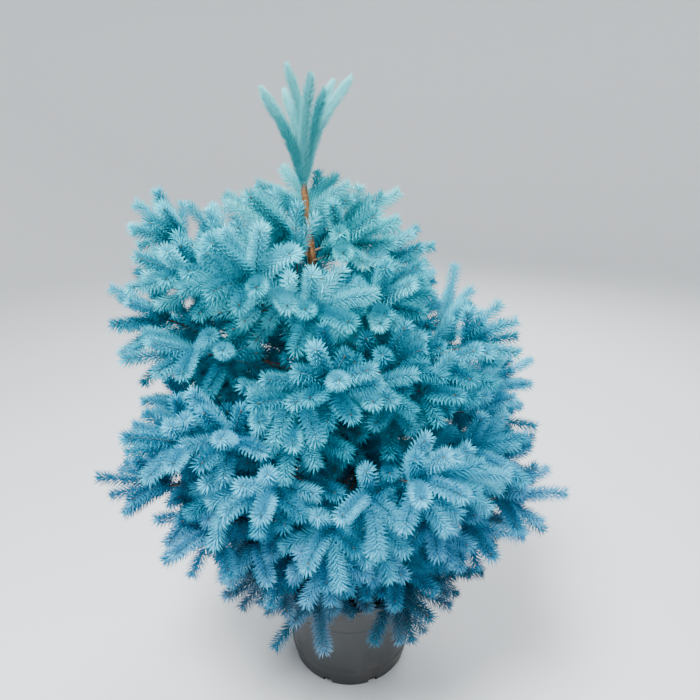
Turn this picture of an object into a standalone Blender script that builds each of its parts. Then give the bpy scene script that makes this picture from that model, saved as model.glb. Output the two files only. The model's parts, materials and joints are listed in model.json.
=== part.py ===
"""A young blue spruce in a round container, about 1.35 m tall, as solids.

The plant stands on the container's flat underside, whose centre is the origin. +Z is up, and
the side of the crown that faces -Y is its front. The trunk stands on the compost and leans to
-X. Boughs leave it in rings of five. Each bough ends where it enters its mass of foliage, and
the boughs of the top ring are foliage from the trunk on. A mass is one stem that branches by a
seeded rule, with a spiky brush of needles on each yearly shoot, all fused into one solid.
"""

import math
import random

import bmesh
import bpy
import numpy as np
from mathutils import Vector

# Driving dimensions, in metres and degrees. Heights with no other word are above the compost.
CLEARANCE = 0.0003

POT_HEIGHT = 0.270
POT_BASE_RADIUS = 0.142
POT_TOP_RADIUS = 0.176
POT_WALL = 0.0035
POT_FLOOR = 0.0055
RIM_HEIGHT = 0.030
RIM_OVERHANG = 0.008
DRAIN_HOLES = 8
DRAIN_WIDTH = 0.024
DRAIN_HEIGHT = 0.016
COMPOST_LEVEL = 0.245
COMPOST_DISH = 0.004

FORK_HEIGHT = 0.887
TRUNK_LEAN = 5.9
TRUNK_SWAY = 0.004
TRUNK_FOOT_RADIUS = 0.0180
TRUNK_TIP_RADIUS = 0.0060
ROOT_FLARE = 0.012
ROOT_FLARE_HEIGHT = 0.028
ROOT_LOBES = 5

# Each ring of boughs: its height, the turn of its first bough from the front towards +X, the
# length of its boughs to the right, to the left and to the front, and their rise where they
# leave the trunk and at their tips.
RINGS = (
    (0.085, 30, 0.46, 0.48, 0.30, 7, 24),
    (0.205, -6, 0.52, 0.51, 0.38, 9, 26),
    (0.335, 32, 0.50, 0.52, 0.43, 12, 28),
    (0.480, -4, 0.40, 0.45, 0.42, 16, 34),
    (0.625, 44, 0.29, 0.43, 0.32, 24, 40),
    (0.768, 36, 0.20, 0.22, 0.20, 18, 46),
)
BOUGHS_IN_RING = 5
RING_STAGGER = 0.009
BARE_SHARE = 0.27
BARE_AT_TOP = 0.072
BOUGH_THINNEST = 0.0036
BOUGH_THICKENING = 0.006

YEAR_GROWTH = 0.115
SIDE_ANGLE = 48
SIDE_VIGOUR = 0.87
UPRIGHT_START = 0.038
UPRIGHT_LENGTH = 0.10
LEADER_LENGTH = 0.20
LEADER_SHOOTS = 6

BRUSH_RADIUS = 0.0240
BRUSH_CORE = 0.0056
BRUSH_STEP = 0.035
BRUSH_FORWARD = 0.013
BRUSH_OVER_TIP = 0.011
BRUSH_TWIST = 18
ROOT_SINK = 0.0036
RING_OFFSET = 0.015
LOWEST_FOLIAGE = 0.05

SEED = "blue spruce"
UP = np.array((0.0, 0.0, 1.0))


# Numbers and directions.
def draw(place, what, low, high):
    """A random number that depends only on where on the plant it is used, and what for."""
    return random.Random(f"{SEED} {place} {what}").uniform(low, high)


def unit(vector):
    return vector / np.linalg.norm(vector)


def heading(turn, rise):
    """The direction that is turned from the front towards +X and rises above level."""
    turn, rise = math.radians(turn), math.radians(rise)
    level = math.cos(rise)
    return np.array((math.sin(turn) * level, -math.cos(turn) * level, math.sin(rise)))


def trunk_point(height):
    """The trunk's centre at a height above the compost."""
    across = -math.tan(math.radians(TRUNK_LEAN)) * height + TRUNK_SWAY * math.sin(9 * height)
    return np.array((across, TRUNK_SWAY * math.sin(7 * height), COMPOST_LEVEL + height))


def trunk_radius(height):
    share = height / FORK_HEIGHT
    return TRUNK_FOOT_RADIUS * (1 - share) + TRUNK_TIP_RADIUS * share


# The rule of growth: where each bough runs, and where each yearly shoot is.
class Bough:
    """A first branch from the trunk, which rises more steeply towards its tip."""

    def __init__(self, ring, place):
        height, first_turn, right, left, front, rise, tip_rise = RINGS[ring]
        self.name = f"{ring + 1}_{place + 1}"
        stagger = ((2 * place) % BOUGHS_IN_RING - 2) * RING_STAGGER
        self.height = height + stagger
        self.turn = first_turn + 360 / BOUGHS_IN_RING * place + draw(self.name, "turn", -9, 9)
        across = math.sin(math.radians(self.turn))
        side = right if across > 0 else left
        length = front + (side - front) * abs(across)
        self.length = length * draw(self.name, "length", 0.94, 1.06)
        self.rise = rise + draw(self.name, "rise", -4, 4)
        self.tip_rise = tip_rise + draw(self.name, "tip", -5, 5)
        self.sway = draw(self.name, "sway", -14, 14)
        self.on_trunk = ring == len(RINGS) - 1
        self.bare = BARE_AT_TOP if self.on_trunk else BARE_SHARE * self.length

    def direction(self, share):
        turn = self.turn + self.sway * (share - 0.3)
        return heading(turn, self.rise + (self.tip_rise - self.rise) * share)

    def point(self, distance, steps=24):
        """The point and the direction at a distance along the bough from the trunk's centre."""
        point = trunk_point(self.height)
        for step in range(steps):
            share = (step + 0.5) / steps * distance / self.length
            point = point + self.direction(share) * distance / steps
        return point, self.direction(distance / self.length)

    def radius(self, distance):
        share = distance / self.length
        return BOUGH_THINNEST + BOUGH_THICKENING * self.length * (1 - share)


class Shoot:
    """One year's growth of one twig, straight from start to end."""

    def __init__(self, mass, twig, order, start, end, parent, years):
        self.mass = mass
        self.twig = twig
        self.order = order
        self.start = start
        self.end = end
        self.parent = parent
        self.years = years
        self.kept = False


def grow_twig(shoots, twig, parent, start, direction, years, length):
    """A side twig, one shoot for each of its years, which turns up a little every year."""
    order = parent.order + 1
    for year in range(years):
        end = start + direction * length * draw(twig, f"year {year}", 0.88, 1.1)
        parent = Shoot(parent.mass, twig, order, start, end, parent, years - year)
        shoots.append(parent)
        start = end
        lift = math.radians(draw(twig, f"lift {year}", 2, 9))
        direction = unit(direction * math.cos(lift) + UP * math.sin(lift))


def grow_side_twigs(shoots, place, parent, start, direction, years, length, count):
    """The side twigs at one bud ring: two that spread to the sides, then one above or below."""
    side = unit(np.cross(direction, UP))
    above = unit(np.cross(side, direction))
    roll = draw(place, "roll", -25, 25)
    for number, turn in enumerate((0, 180, 90)[:count]):
        twig = f"{place}/{number}"
        turn = math.radians(roll + turn + draw(twig, "turn", -12, 12))
        outward = side * math.cos(turn) + above * math.sin(turn)
        angle = math.radians(SIDE_ANGLE + draw(twig, "angle", -8, 8))
        leaving = unit(direction * math.cos(angle) + outward * math.sin(angle))
        if number < 2:
            grow_twig(shoots, twig, parent, start, leaving, years, length)
        else:
            grow_twig(shoots, twig, parent, start, leaving, max(1, years - 1), 0.8 * length)


def grow_bough_foliage(shoots, bough):
    """The yearly shoots along a bough past its bare part, and the side twigs at each ring."""
    years = max(1, round((bough.length - bough.bare) / YEAR_GROWTH))
    step = (bough.length - bough.bare) / years
    side_length = step * SIDE_VIGOUR
    parent = None
    for year in range(years):
        start, direction = bough.point(bough.bare + step * year)
        end, end_direction = bough.point(bough.bare + step * (year + 1))
        parent = Shoot(bough.name, bough.name, 0, start, end, parent, years - year)
        shoots.append(parent)
        if year == 0:
            ring = start + direction * RING_OFFSET
            grow_side_twigs(
                shoots, f"{bough.name} foot", parent, ring, direction, years, side_length, 2
            )
        left = years - 1 - year
        if left:
            grow_side_twigs(
                shoots, f"{bough.name} {year}", parent, end, end_direction, left, side_length, 3
            )


def grow_upright(shoots, bough):
    """A steep shoot beside the stem's newest stretch, from the foot of a mass of the top ring."""
    twig = f"{bough.name} upright"
    parent = next(shoot for shoot in shoots if shoot.mass == bough.name)
    foot = bough.point(0)[0]
    start = foot + unit(parent.start - foot) * UPRIGHT_START
    leaving = heading(bough.turn + draw(twig, "turn", -16, 16), draw(twig, "rise", 42, 56))
    grow_twig(shoots, twig, parent, start, leaving, 1, UPRIGHT_LENGTH)


def grow_leader(shoots):
    """The leader and the ring of steep shoots round its foot, above the trunk's fork."""
    foot = trunk_point(FORK_HEIGHT)
    upward = heading(-90, 90 - TRUNK_LEAN)
    leader = Shoot("leader", "leader", 0, foot, foot + upward * LEADER_LENGTH, None, 1)
    shoots.append(leader)
    start = foot + upward * RING_OFFSET
    for number in range(LEADER_SHOOTS):
        twig = f"leader {number}"
        turn = 20 + 360 / LEADER_SHOOTS * number + draw(twig, "turn", -10, 10)
        direction = unit(heading(turn, draw(twig, "rise", 58, 68)) + upward * 0.1)
        end = start + direction * draw(twig, "length", 0.15, 0.185)
        shoots.append(Shoot("leader", twig, 1, start, end, leader, 1))


def distances(start, end, starts, ends):
    """How near one straight piece comes to each of several others, between centre lines."""
    along, others, apart = end - start, ends - starts, start - starts
    a = along @ along
    e = np.einsum("ij,ij->i", others, others)
    f = np.einsum("ij,ij->i", others, apart)
    b = others @ along
    c = apart @ along
    spread = np.maximum(a * e - b * b, 1e-12)
    s = np.clip((b * f - c * e) / spread, 0, 1)
    t = (b * s + f) / e
    held = np.clip(t, 0, 1)
    s = np.where(t != held, np.clip((b * held - c) / a, 0, 1), s)
    nearest = start + s[:, None] * along - starts - held[:, None] * others
    return np.linalg.norm(nearest, axis=1)


class Limbs:
    """The bare wood that foliage keeps clear of, as straight pieces with a radius and a name."""

    def __init__(self, boughs):
        pieces = []
        heights = np.linspace(0, FORK_HEIGHT, 16)
        for low, high in zip(heights[:-1], heights[1:]):
            radius = trunk_radius(low) + TRUNK_SWAY / 4
            pieces.append((trunk_point(low), trunk_point(high), radius, "trunk"))
        for bough in boughs:
            if not bough.on_trunk:
                foot, tip = bough.point(0)[0], bough.point(bough.bare)[0]
                pieces.append((foot, tip, bough.radius(0), bough.name))
        self.starts = np.array([piece[0] for piece in pieces])
        self.ends = np.array([piece[1] for piece in pieces])
        self.radii = np.array([piece[2] for piece in pieces])
        self.names = np.array([piece[3] for piece in pieces])

    def clear_of(self, shoot):
        own = self.names == shoot.mass
        if shoot.order == 0 or shoot.mass == "leader":
            own |= self.names == "trunk"
        room = distances(shoot.start, shoot.end, self.starts, self.ends) - self.radii
        return bool((room[~own] > BRUSH_RADIUS + CLEARANCE).all())


def keep_clear_shoots(shoots, limbs):
    """Keeps the shoots that touch no limb and no other mass, the main ones first."""
    kept = []
    starts, ends, masses = np.zeros((0, 3)), np.zeros((0, 3)), np.zeros(0, str)
    for shoot in sorted(shoots, key=lambda s: (s.order, -s.years)):
        if shoot.parent is not None and not shoot.parent.kept:
            continue
        if min(shoot.start[2], shoot.end[2]) < COMPOST_LEVEL + LOWEST_FOLIAGE:
            continue
        if not limbs.clear_of(shoot):
            continue
        other = masses != shoot.mass
        if other.any():
            near = distances(shoot.start, shoot.end, starts[other], ends[other]).min()
            if near < 2 * (BRUSH_RADIUS + CLEARANCE):
                continue
        shoot.kept = True
        kept.append(shoot)
        starts = np.vstack((starts, shoot.start))
        ends = np.vstack((ends, shoot.end))
        masses = np.append(masses, shoot.mass)
    return kept


# Materials and helpers for meshes.
def make_material(name, colour, roughness):
    material = bpy.data.materials.new(name)
    material.use_nodes = True
    shader = material.node_tree.nodes["Principled BSDF"]
    shader.inputs["Base Color"].default_value = (*colour, 1)
    shader.inputs["Roughness"].default_value = roughness
    shader.inputs["Metallic"].default_value = 0
    return material


def link_object(name, mesh, material=None):
    if material:
        mesh.materials.append(material)
    made = bpy.data.objects.new(name, mesh)
    bpy.context.scene.collection.objects.link(made)
    return made


def make_helper(name, mesh):
    """An object that only shapes another one."""
    helper = link_object(name, mesh)
    helper.hide_render = True
    helper.display_type = "WIRE"
    return helper


def new_mesh(name, points, faces, smooth_below=0):
    """A mesh from its points and faces, shaded smooth over edges below an angle in degrees."""
    mesh = bpy.data.meshes.new(name)
    mesh.from_pydata([tuple(point) for point in points], [], faces)
    if smooth_below:
        mesh.shade_smooth()
        mesh.set_sharp_from_angle(angle=math.radians(smooth_below))
    return mesh


def turned_mesh(name, profile, steps):
    """A round solid about Z, spun from a profile that starts and ends on the axis."""
    shape = bmesh.new()
    corners = [shape.verts.new((radius, 0, height)) for radius, height in profile]
    edges = [shape.edges.new(pair) for pair in zip(corners[:-1], corners[1:])]
    bmesh.ops.spin(
        shape, geom=corners + edges, cent=(0, 0, 0), axis=(0, 0, 1),
        angle=2 * math.pi, steps=steps, use_merge=True,
    )
    bmesh.ops.remove_doubles(shape, verts=shape.verts, dist=0.00002)
    bmesh.ops.recalc_face_normals(shape, faces=shape.faces)
    mesh = bpy.data.meshes.new(name)
    shape.to_mesh(mesh)
    shape.free()
    mesh.shade_smooth()
    mesh.set_sharp_from_angle(angle=math.radians(35))
    return mesh


def cylinder_mesh(name, radius, depth, sides):
    """A closed cylinder along Z, centred on its own origin."""
    shape = bmesh.new()
    bmesh.ops.create_cone(
        shape, cap_ends=True, segments=sides, radius1=radius, radius2=radius, depth=depth
    )
    mesh = bpy.data.meshes.new(name)
    shape.to_mesh(mesh)
    shape.free()
    return mesh


def tube_faces(rings, sides):
    """The faces of a tube whose points come ring by ring, with its two end caps."""
    faces = []
    for first in range(0, (rings - 1) * sides, sides):
        for side in range(sides):
            a, b = first + side, first + (side + 1) % sides
            faces.append((a, b, b + sides, a + sides))
    faces.append(tuple(range(sides - 1, -1, -1)))
    last = (rings - 1) * sides
    faces.append(tuple(range(last, last + sides)))
    return faces


def square_to(direction):
    """Two directions at right angles to one direction and to each other."""
    side = unit(np.cross(direction, UP))
    return side, np.cross(direction, side)


def leaned_to(direction, side):
    """The sideways direction nearest to another one that is square to a new direction."""
    return unit(side - direction * (direction @ side))


def add_boolean(target, operation, other):
    boolean = target.modifiers.new(other.name, "BOOLEAN")
    boolean.operation = operation
    boolean.object = other


# The container and its compost.
def make_pot(material):
    """A tapered container with a turned-out rim and drain holes round the foot of its wall."""
    edge = 0.002
    inner_top, inner_foot = POT_TOP_RADIUS - POT_WALL, POT_BASE_RADIUS - POT_WALL
    rim_foot, rim_radius = POT_HEIGHT - RIM_HEIGHT, POT_TOP_RADIUS + RIM_OVERHANG
    profile = (
        (0, 0),
        (POT_BASE_RADIUS - 2 * edge, 0),
        (POT_BASE_RADIUS, 2 * edge),
        (POT_TOP_RADIUS, rim_foot),
        (rim_radius, rim_foot + edge),
        (rim_radius, POT_HEIGHT - edge),
        (rim_radius - edge, POT_HEIGHT),
        (inner_top + edge, POT_HEIGHT),
        (inner_top, POT_HEIGHT - edge),
        (inner_foot, POT_FLOOR),
        (0, POT_FLOOR),
    )
    pot = link_object("pot", turned_mesh("pot", profile, 40), material)
    for number in range(DRAIN_HOLES):
        outward = Vector(heading(360 / DRAIN_HOLES * (number + 0.5), 0))
        hole = cylinder_mesh("drain_hole", DRAIN_WIDTH / 2, 8 * POT_WALL, 6)
        cutter = make_helper(f"drain_cutter_{number + 1}", hole)
        cutter.location = outward * POT_BASE_RADIUS + Vector((0, 0, DRAIN_HEIGHT / 2))
        cutter.rotation_euler = outward.to_track_quat("Z", "Y").to_euler()
        add_boolean(pot, "DIFFERENCE", cutter)


def make_compost(material):
    """The filling of the container, level round the trunk and a little lower at the wall."""
    foot, level = POT_FLOOR + CLEARANCE, COMPOST_LEVEL - CLEARANCE
    foot_radius = POT_BASE_RADIUS - POT_WALL - 2 * CLEARANCE
    top_radius = POT_TOP_RADIUS - POT_WALL - 2 * CLEARANCE
    share = (level - COMPOST_DISH - foot) / (POT_HEIGHT - foot)
    wall_radius = foot_radius + (top_radius - foot_radius) * share
    profile = (
        (0, foot),
        (foot_radius, foot),
        (wall_radius, level - COMPOST_DISH),
        (0.8 * wall_radius, level),
        (0, level),
    )
    link_object("compost", turned_mesh("compost", profile, 32), material)


# Wood.
def trunk_mesh(name, extra=0.0):
    """The trunk, cut flat at the compost and at the fork, with root lobes round its foot."""
    sides = 3 * ROOT_LOBES
    heights = [0, 0.007, 0.018, 0.036, 0.065]
    heights += [0.065 + (FORK_HEIGHT - 0.065) * step / 9 for step in range(1, 10)]
    points = []
    for height in heights:
        flare = ROOT_FLARE * math.exp(-height / ROOT_FLARE_HEIGHT)
        for side in range(sides):
            angle = 2 * math.pi * side / sides
            lobed = 0.6 + 0.4 * math.cos(ROOT_LOBES * angle)
            radius = trunk_radius(height) + extra + flare * lobed
            around = np.array((math.cos(angle), math.sin(angle), 0))
            points.append(trunk_point(height) + radius * around)
    return new_mesh(name, points, tube_faces(len(heights), sides), 60)


def make_bough(bough, trunk_room, material):
    """The bare part of a bough, with a collar at its foot, cut to the trunk's round."""
    sides = 6
    surface = trunk_radius(bough.height)
    stations = ((0.2 * surface, 1.4), (surface + 0.005, 1.3), (surface + 0.02, 1), (bough.bare, 1))
    points = []
    for distance, collar in stations:
        centre, direction = bough.point(distance)
        first, second = square_to(direction)
        radius = collar * bough.radius(distance)
        for side in range(sides):
            angle = 2 * math.pi * side / sides
            around = math.cos(angle) * first + math.sin(angle) * second
            points.append(centre + radius * around)
    mesh = new_mesh(f"bough_{bough.name}", points, tube_faces(len(stations), sides), 70)
    limb = link_object(f"bough_{bough.name}", mesh, material)
    add_boolean(limb, "DIFFERENCE", trunk_room)


# Foliage.
class Route:
    """The line of a twig through the ends of its shoots, with a frame that does not twist."""

    def __init__(self, shoots):
        self.joints = [shoots[0].start] + [shoot.end for shoot in shoots]
        legs = [end - start for start, end in zip(self.joints[:-1], self.joints[1:])]
        self.reached = np.concatenate(((0,), np.cumsum([np.linalg.norm(leg) for leg in legs])))
        self.directions = [unit(leg) for leg in legs]
        self.sides = [square_to(self.directions[0])[0]]
        for direction in self.directions[1:]:
            self.sides.append(leaned_to(direction, self.sides[-1]))
        self.length = self.reached[-1]

    def frame(self, distance):
        """The point, the direction and a sideways direction at a distance."""
        leg = int(np.clip(np.searchsorted(self.reached, distance) - 1, 0, len(self.sides) - 1))
        point = self.joints[leg] + self.directions[leg] * (distance - self.reached[leg])
        return point, self.directions[leg], self.sides[leg]


def brush_mesh(name, shoots, foot=None, bare=0.0):
    """A slim square core along a twig, with needles that stand out of it and point forward.

    Each ring has two needles, a quarter turn on from those of the ring before. With a foot,
    which is a radius and the direction that it faces away from, the brush starts flat. Without
    one it starts in a point, which is sunk in another twig.
    """
    route = Route(shoots)
    spin = draw(shoots[0].twig, "spin", 0, 90)
    count = max(2, round((route.length - bare) / BRUSH_STEP))
    first, last = bare + 0.5 * BRUSH_STEP, route.length - 0.4 * BRUSH_STEP
    rings = [(first + (last - first) * ring / (count - 1), True) for ring in range(count)]
    if bare:
        rings.insert(0, (bare, False))
    if foot:
        rings.insert(0, (0, False))
    points = []
    for ring, (distance, has_needles) in enumerate(rings):
        point, direction, right = route.frame(distance)
        core = BRUSH_CORE
        if foot and ring == 0:
            core, direction = foot
            right = leaned_to(direction, right)
        above = np.cross(direction, right)
        for side in range(4):
            angle = math.radians(90 * side - BRUSH_TWIST * ring + spin)
            around = math.cos(angle) * right + math.sin(angle) * above
            if has_needles and (ring + side) % 2 == 0:
                points.append(point + BRUSH_RADIUS * around + BRUSH_FORWARD * direction)
            else:
                points.append(point + core * around)
    faces = []
    for first in range(0, 4 * len(rings) - 4, 4):
        for side in range(4):
            a, b = first + side, first + (side + 1) % 4
            if (first // 4 + side) % 2 == 0:
                faces += [(a, b, a + 4), (b, b + 4, a + 4)]
            else:
                faces += [(a, b, b + 4), (a, b + 4, a + 4)]
    end = len(points)
    points.append(route.joints[-1] + route.directions[-1] * BRUSH_OVER_TIP)
    faces += [(end, end - 4 + side, end - 4 + (side + 1) % 4) for side in range(4)]
    if foot:
        faces.append((3, 2, 1, 0))
    else:
        points.append(route.joints[0] - route.directions[0] * ROOT_SINK)
        faces += [(end + 1, (side + 1) % 4, side) for side in range(4)]
    return new_mesh(name, points, faces)


def make_mass(name, shoots, foot, bare, material):
    """One mass of foliage: its stem and every twig, as brushes joined into one solid."""
    twigs = {}
    for shoot in shoots:
        twigs.setdefault(shoot.twig, []).append(shoot)
    stem, *others = twigs.values()
    mass = link_object(name, brush_mesh(name, stem, foot, bare), material)
    if not others:
        return mass
    brushes = bpy.data.collections.new(f"{name}_brushes")
    for twig in others:
        brushes.objects.link(bpy.data.objects.new("brush", brush_mesh("brush", twig)))
    bpy.context.scene.collection.children.link(brushes)
    union = mass.modifiers.new("brushes", "BOOLEAN")
    union.operation = "UNION"
    union.operand_type = "COLLECTION"
    union.collection = brushes
    union.solver = "MANIFOLD"
    bpy.context.view_layer.update()
    evaluated = mass.evaluated_get(bpy.context.evaluated_depsgraph_get())
    joined = bpy.data.meshes.new_from_object(evaluated)
    mass.modifiers.clear()
    mass.data = joined
    for brush in list(brushes.objects):
        bpy.data.objects.remove(brush)
    bpy.data.collections.remove(brushes)
    return mass


def grow_plant():
    """The boughs, and the shoots that are kept, in order along each twig."""
    boughs = [
        Bough(ring, place) for ring in range(len(RINGS)) for place in range(BOUGHS_IN_RING)
    ]
    shoots = []
    for bough in boughs:
        grow_bough_foliage(shoots, bough)
        if bough.on_trunk:
            grow_upright(shoots, bough)
    grow_leader(shoots)
    keep_clear_shoots(shoots, Limbs(boughs))
    return boughs, [shoot for shoot in shoots if shoot.kept]


def main():
    for leftover in list(bpy.data.objects):
        bpy.data.objects.remove(leftover)
    plastic = make_material("pot_plastic", (0.035, 0.037, 0.04), 0.45)
    bark_mix = make_material("bark_compost", (0.09, 0.055, 0.035), 0.95)
    bark = make_material("bark", (0.25, 0.16, 0.10), 0.85)
    needles = make_material("blue_needles", (0.20, 0.42, 0.50), 0.6)

    make_pot(plastic)
    make_compost(bark_mix)
    link_object("trunk", trunk_mesh("trunk"), bark)
    trunk_room = make_helper("trunk_room", trunk_mesh("trunk_room", CLEARANCE))

    boughs, shoots = grow_plant()
    for bough in boughs:
        own = [shoot for shoot in shoots if shoot.mass == bough.name]
        name = f"foliage_{bough.name}"
        if bough.on_trunk:
            foot, direction = bough.point(0.2 * trunk_radius(bough.height))
            own.insert(0, Shoot(bough.name, bough.name, 0, foot, own[0].start, None, 2))
            mass = make_mass(name, own, (BOUGH_THINNEST, direction), bough.bare, needles)
            add_boolean(mass, "DIFFERENCE", trunk_room)
        else:
            make_bough(bough, trunk_room, bark)
            direction = bough.point(bough.bare)[1]
            own[0].start = own[0].start + direction * CLEARANCE
            make_mass(name, own, (bough.radius(bough.bare), direction), 0, needles)
    own = [shoot for shoot in shoots if shoot.mass == "leader"]
    own[0].start = own[0].start + UP * CLEARANCE
    make_mass("foliage_leader", own, (TRUNK_TIP_RADIUS, UP), 0, needles)


if __name__ == "__main__":
    main()
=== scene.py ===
import json
import math
import random

import bmesh
import bpy
import numpy as np
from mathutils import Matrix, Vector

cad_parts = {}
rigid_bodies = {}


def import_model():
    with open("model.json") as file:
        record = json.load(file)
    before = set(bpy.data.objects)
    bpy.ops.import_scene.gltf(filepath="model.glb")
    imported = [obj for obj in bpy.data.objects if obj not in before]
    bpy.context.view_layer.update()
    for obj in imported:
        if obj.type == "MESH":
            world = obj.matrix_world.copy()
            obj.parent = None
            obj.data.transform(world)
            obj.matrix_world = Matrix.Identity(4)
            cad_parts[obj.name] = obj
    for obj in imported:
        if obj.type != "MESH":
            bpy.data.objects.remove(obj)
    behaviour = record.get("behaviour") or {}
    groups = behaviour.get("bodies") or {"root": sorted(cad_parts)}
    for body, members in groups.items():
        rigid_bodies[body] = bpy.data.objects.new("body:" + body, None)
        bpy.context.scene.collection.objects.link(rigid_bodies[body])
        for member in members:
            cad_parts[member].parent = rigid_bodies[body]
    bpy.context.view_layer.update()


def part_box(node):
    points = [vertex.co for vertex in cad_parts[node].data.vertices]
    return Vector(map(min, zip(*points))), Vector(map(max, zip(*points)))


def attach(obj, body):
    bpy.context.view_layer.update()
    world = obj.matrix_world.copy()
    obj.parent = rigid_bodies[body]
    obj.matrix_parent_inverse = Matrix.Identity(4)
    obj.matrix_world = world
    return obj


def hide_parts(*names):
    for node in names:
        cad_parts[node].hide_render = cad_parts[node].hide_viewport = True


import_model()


# The container: a round 20 litre nursery pot, blown from recycled black plastic, with a
# turned-out rim, a shoulder under it and eight drain holes round the foot of its wall.
POT_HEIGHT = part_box("pot")[1][2]
RIM_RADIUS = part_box("pot")[1][0]
POT_TOP_RADIUS = RIM_RADIUS - 0.008
POT_BASE_RADIUS = 0.142
POT_WALL = 0.0035
POT_FLOOR = 0.0055
BASE_RECESS = 0.004
RIM_HEIGHT = 0.030
BEAD_DEPTH = 0.0010
BEAD_HEIGHT = 0.009
DRAIN_HOLES = 8
DRAIN_WIDTH = 0.024
DRAIN_HEIGHT = 0.016
SPLASH_HEIGHTS = (0.02, 0.10)
POT_STEPS = 144
POT_SHARP_ANGLE = 40


def object_of(name, data):
    """An object that shows a mesh, a light or a camera in the scene."""
    shown = bpy.data.objects.new(name, data)
    bpy.context.scene.collection.objects.link(shown)
    return shown


def mesh_of(name, shape):
    """A mesh with the faces of a shape, which is used up."""
    mesh = bpy.data.meshes.new(name)
    shape.to_mesh(mesh)
    shape.free()
    return mesh


def settled_mesh(source, *helpers):
    """The mesh of an object as its modifiers leave it. The object and its helpers are removed."""
    bpy.context.view_layer.update()
    evaluated = source.evaluated_get(bpy.context.evaluated_depsgraph_get())
    mesh = bpy.data.meshes.new_from_object(evaluated)
    source.modifiers.clear()
    for used in (*helpers, source):
        bpy.data.objects.remove(used)
    return mesh


def finish_piece(name, mesh, material, slot, *nodes):
    """A finished piece of the plant, which rides on its one body and stands for its solids."""
    piece = object_of(name, mesh)
    mesh.materials.clear()
    mesh.materials.append(material)
    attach(piece, "root")
    if nodes:
        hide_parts(*nodes)


def plain_material(name, colour, roughness, specular=0.5):
    material = bpy.data.materials.new(name)
    material.use_nodes = True
    shader = material.node_tree.nodes["Principled BSDF"]
    shader.inputs["Base Color"].default_value = (*colour, 1)
    shader.inputs["Roughness"].default_value = roughness
    shader.inputs["Specular IOR Level"].default_value = specular
    return material


def wire(tree, kind, inputs=None, **settings):
    """A node with its settings, whose inputs are set to values or joined to other sockets."""
    node = tree.nodes.new(kind)
    for setting, value in settings.items():
        setattr(node, setting, value)
    for socket, value in (inputs or {}).items():
        if isinstance(value, bpy.types.NodeSocket):
            tree.links.new(value, node.inputs[socket])
        else:
            node.inputs[socket].default_value = value
    return node


def place_in(tree, scale):
    """Object coordinates, scaled in X, Y and Z."""
    where = wire(tree, "ShaderNodeTexCoord")
    mapping = wire(tree, "ShaderNodeMapping", {"Vector": where.outputs["Object"], "Scale": scale})
    return mapping.outputs["Vector"]


def height_in(tree):
    """The height above the ground."""
    return wire(tree, "ShaderNodeSeparateXYZ", {"Vector": place_in(tree, (1, 1, 1))}).outputs["Z"]


def range_in(tree, value, given, wanted=(0.0, 1.0), **settings):
    """A value's place between two given ends, carried over to two wanted ends."""
    ends = {"From Min": given[0], "From Max": given[1], "To Min": wanted[0], "To Max": wanted[1]}
    return wire(tree, "ShaderNodeMapRange", {"Value": value, **ends}, **settings).outputs["Result"]


def noise_in(tree, vector, scale, detail=4, roughness=0.55):
    noise = wire(
        tree, "ShaderNodeTexNoise",
        {"Vector": vector, "Scale": scale, "Detail": detail, "Roughness": roughness},
    )
    return noise.outputs["Fac"]


def ramp_in(tree, factor, stops):
    """Colours or greys over a factor, from stops of (position, colour)."""
    ramp = wire(tree, "ShaderNodeValToRGB", {"Fac": factor})
    elements = ramp.color_ramp.elements
    while len(elements) < len(stops):
        elements.new(0.5)
    for element, (position, colour) in zip(elements, stops):
        element.position = position
        element.color = (*colour, 1)
    return ramp.outputs["Color"]


def grey(value):
    return (value, value, value)


def mix_in(tree, factor, first, second):
    mix = wire(tree, "ShaderNodeMix", data_type="RGBA")
    for socket, value in ((mix.inputs["Factor"], factor), (mix.inputs[6], first), (mix.inputs[7], second)):
        if isinstance(value, bpy.types.NodeSocket):
            tree.links.new(value, socket)
        else:
            socket.default_value = value if socket.name == "Factor" else (*value, 1)
    return mix.outputs[2]


def bump_in(tree, shader, height, strength, distance):
    bump = wire(tree, "ShaderNodeBump", {"Height": height, "Strength": strength, "Distance": distance})
    tree.links.new(bump.outputs["Normal"], shader.inputs["Normal"])


def pot_plastic():
    """Black plastic with a fine grain, chalky water marks and a little dried soil low down."""
    material = plain_material("pot_plastic", (0.014, 0.015, 0.016), 0.42)
    tree = material.node_tree
    shader = tree.nodes["Principled BSDF"]
    streaks = noise_in(tree, place_in(tree, (26, 26, 3)), 1.0, 6)
    chalk = ramp_in(tree, streaks, ((0.50, grey(0)), (0.74, grey(0.55))))
    patches = noise_in(tree, place_in(tree, (9, 9, 14)), 1.0, 5)
    soil = ramp_in(tree, patches, ((0.55, grey(0)), (0.72, grey(0.5))))
    low = range_in(tree, height_in(tree), SPLASH_HEIGHTS, (1.0, 0.0))
    splash = wire(tree, "ShaderNodeMath", {0: soil, 1: low}, operation="MULTIPLY")
    colour = mix_in(tree, chalk, (0.012, 0.013, 0.014), (0.045, 0.047, 0.048))
    colour = mix_in(tree, splash.outputs[0], colour, (0.10, 0.075, 0.05))
    tree.links.new(colour, shader.inputs["Base Color"])
    dull = ramp_in(tree, streaks, ((0.3, grey(0.36)), (0.75, grey(0.62))))
    tree.links.new(dull, shader.inputs["Roughness"])
    bump_in(tree, shader, noise_in(tree, place_in(tree, (1, 1, 1)), 900, 2), 0.25, 0.0004)
    return material


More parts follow.
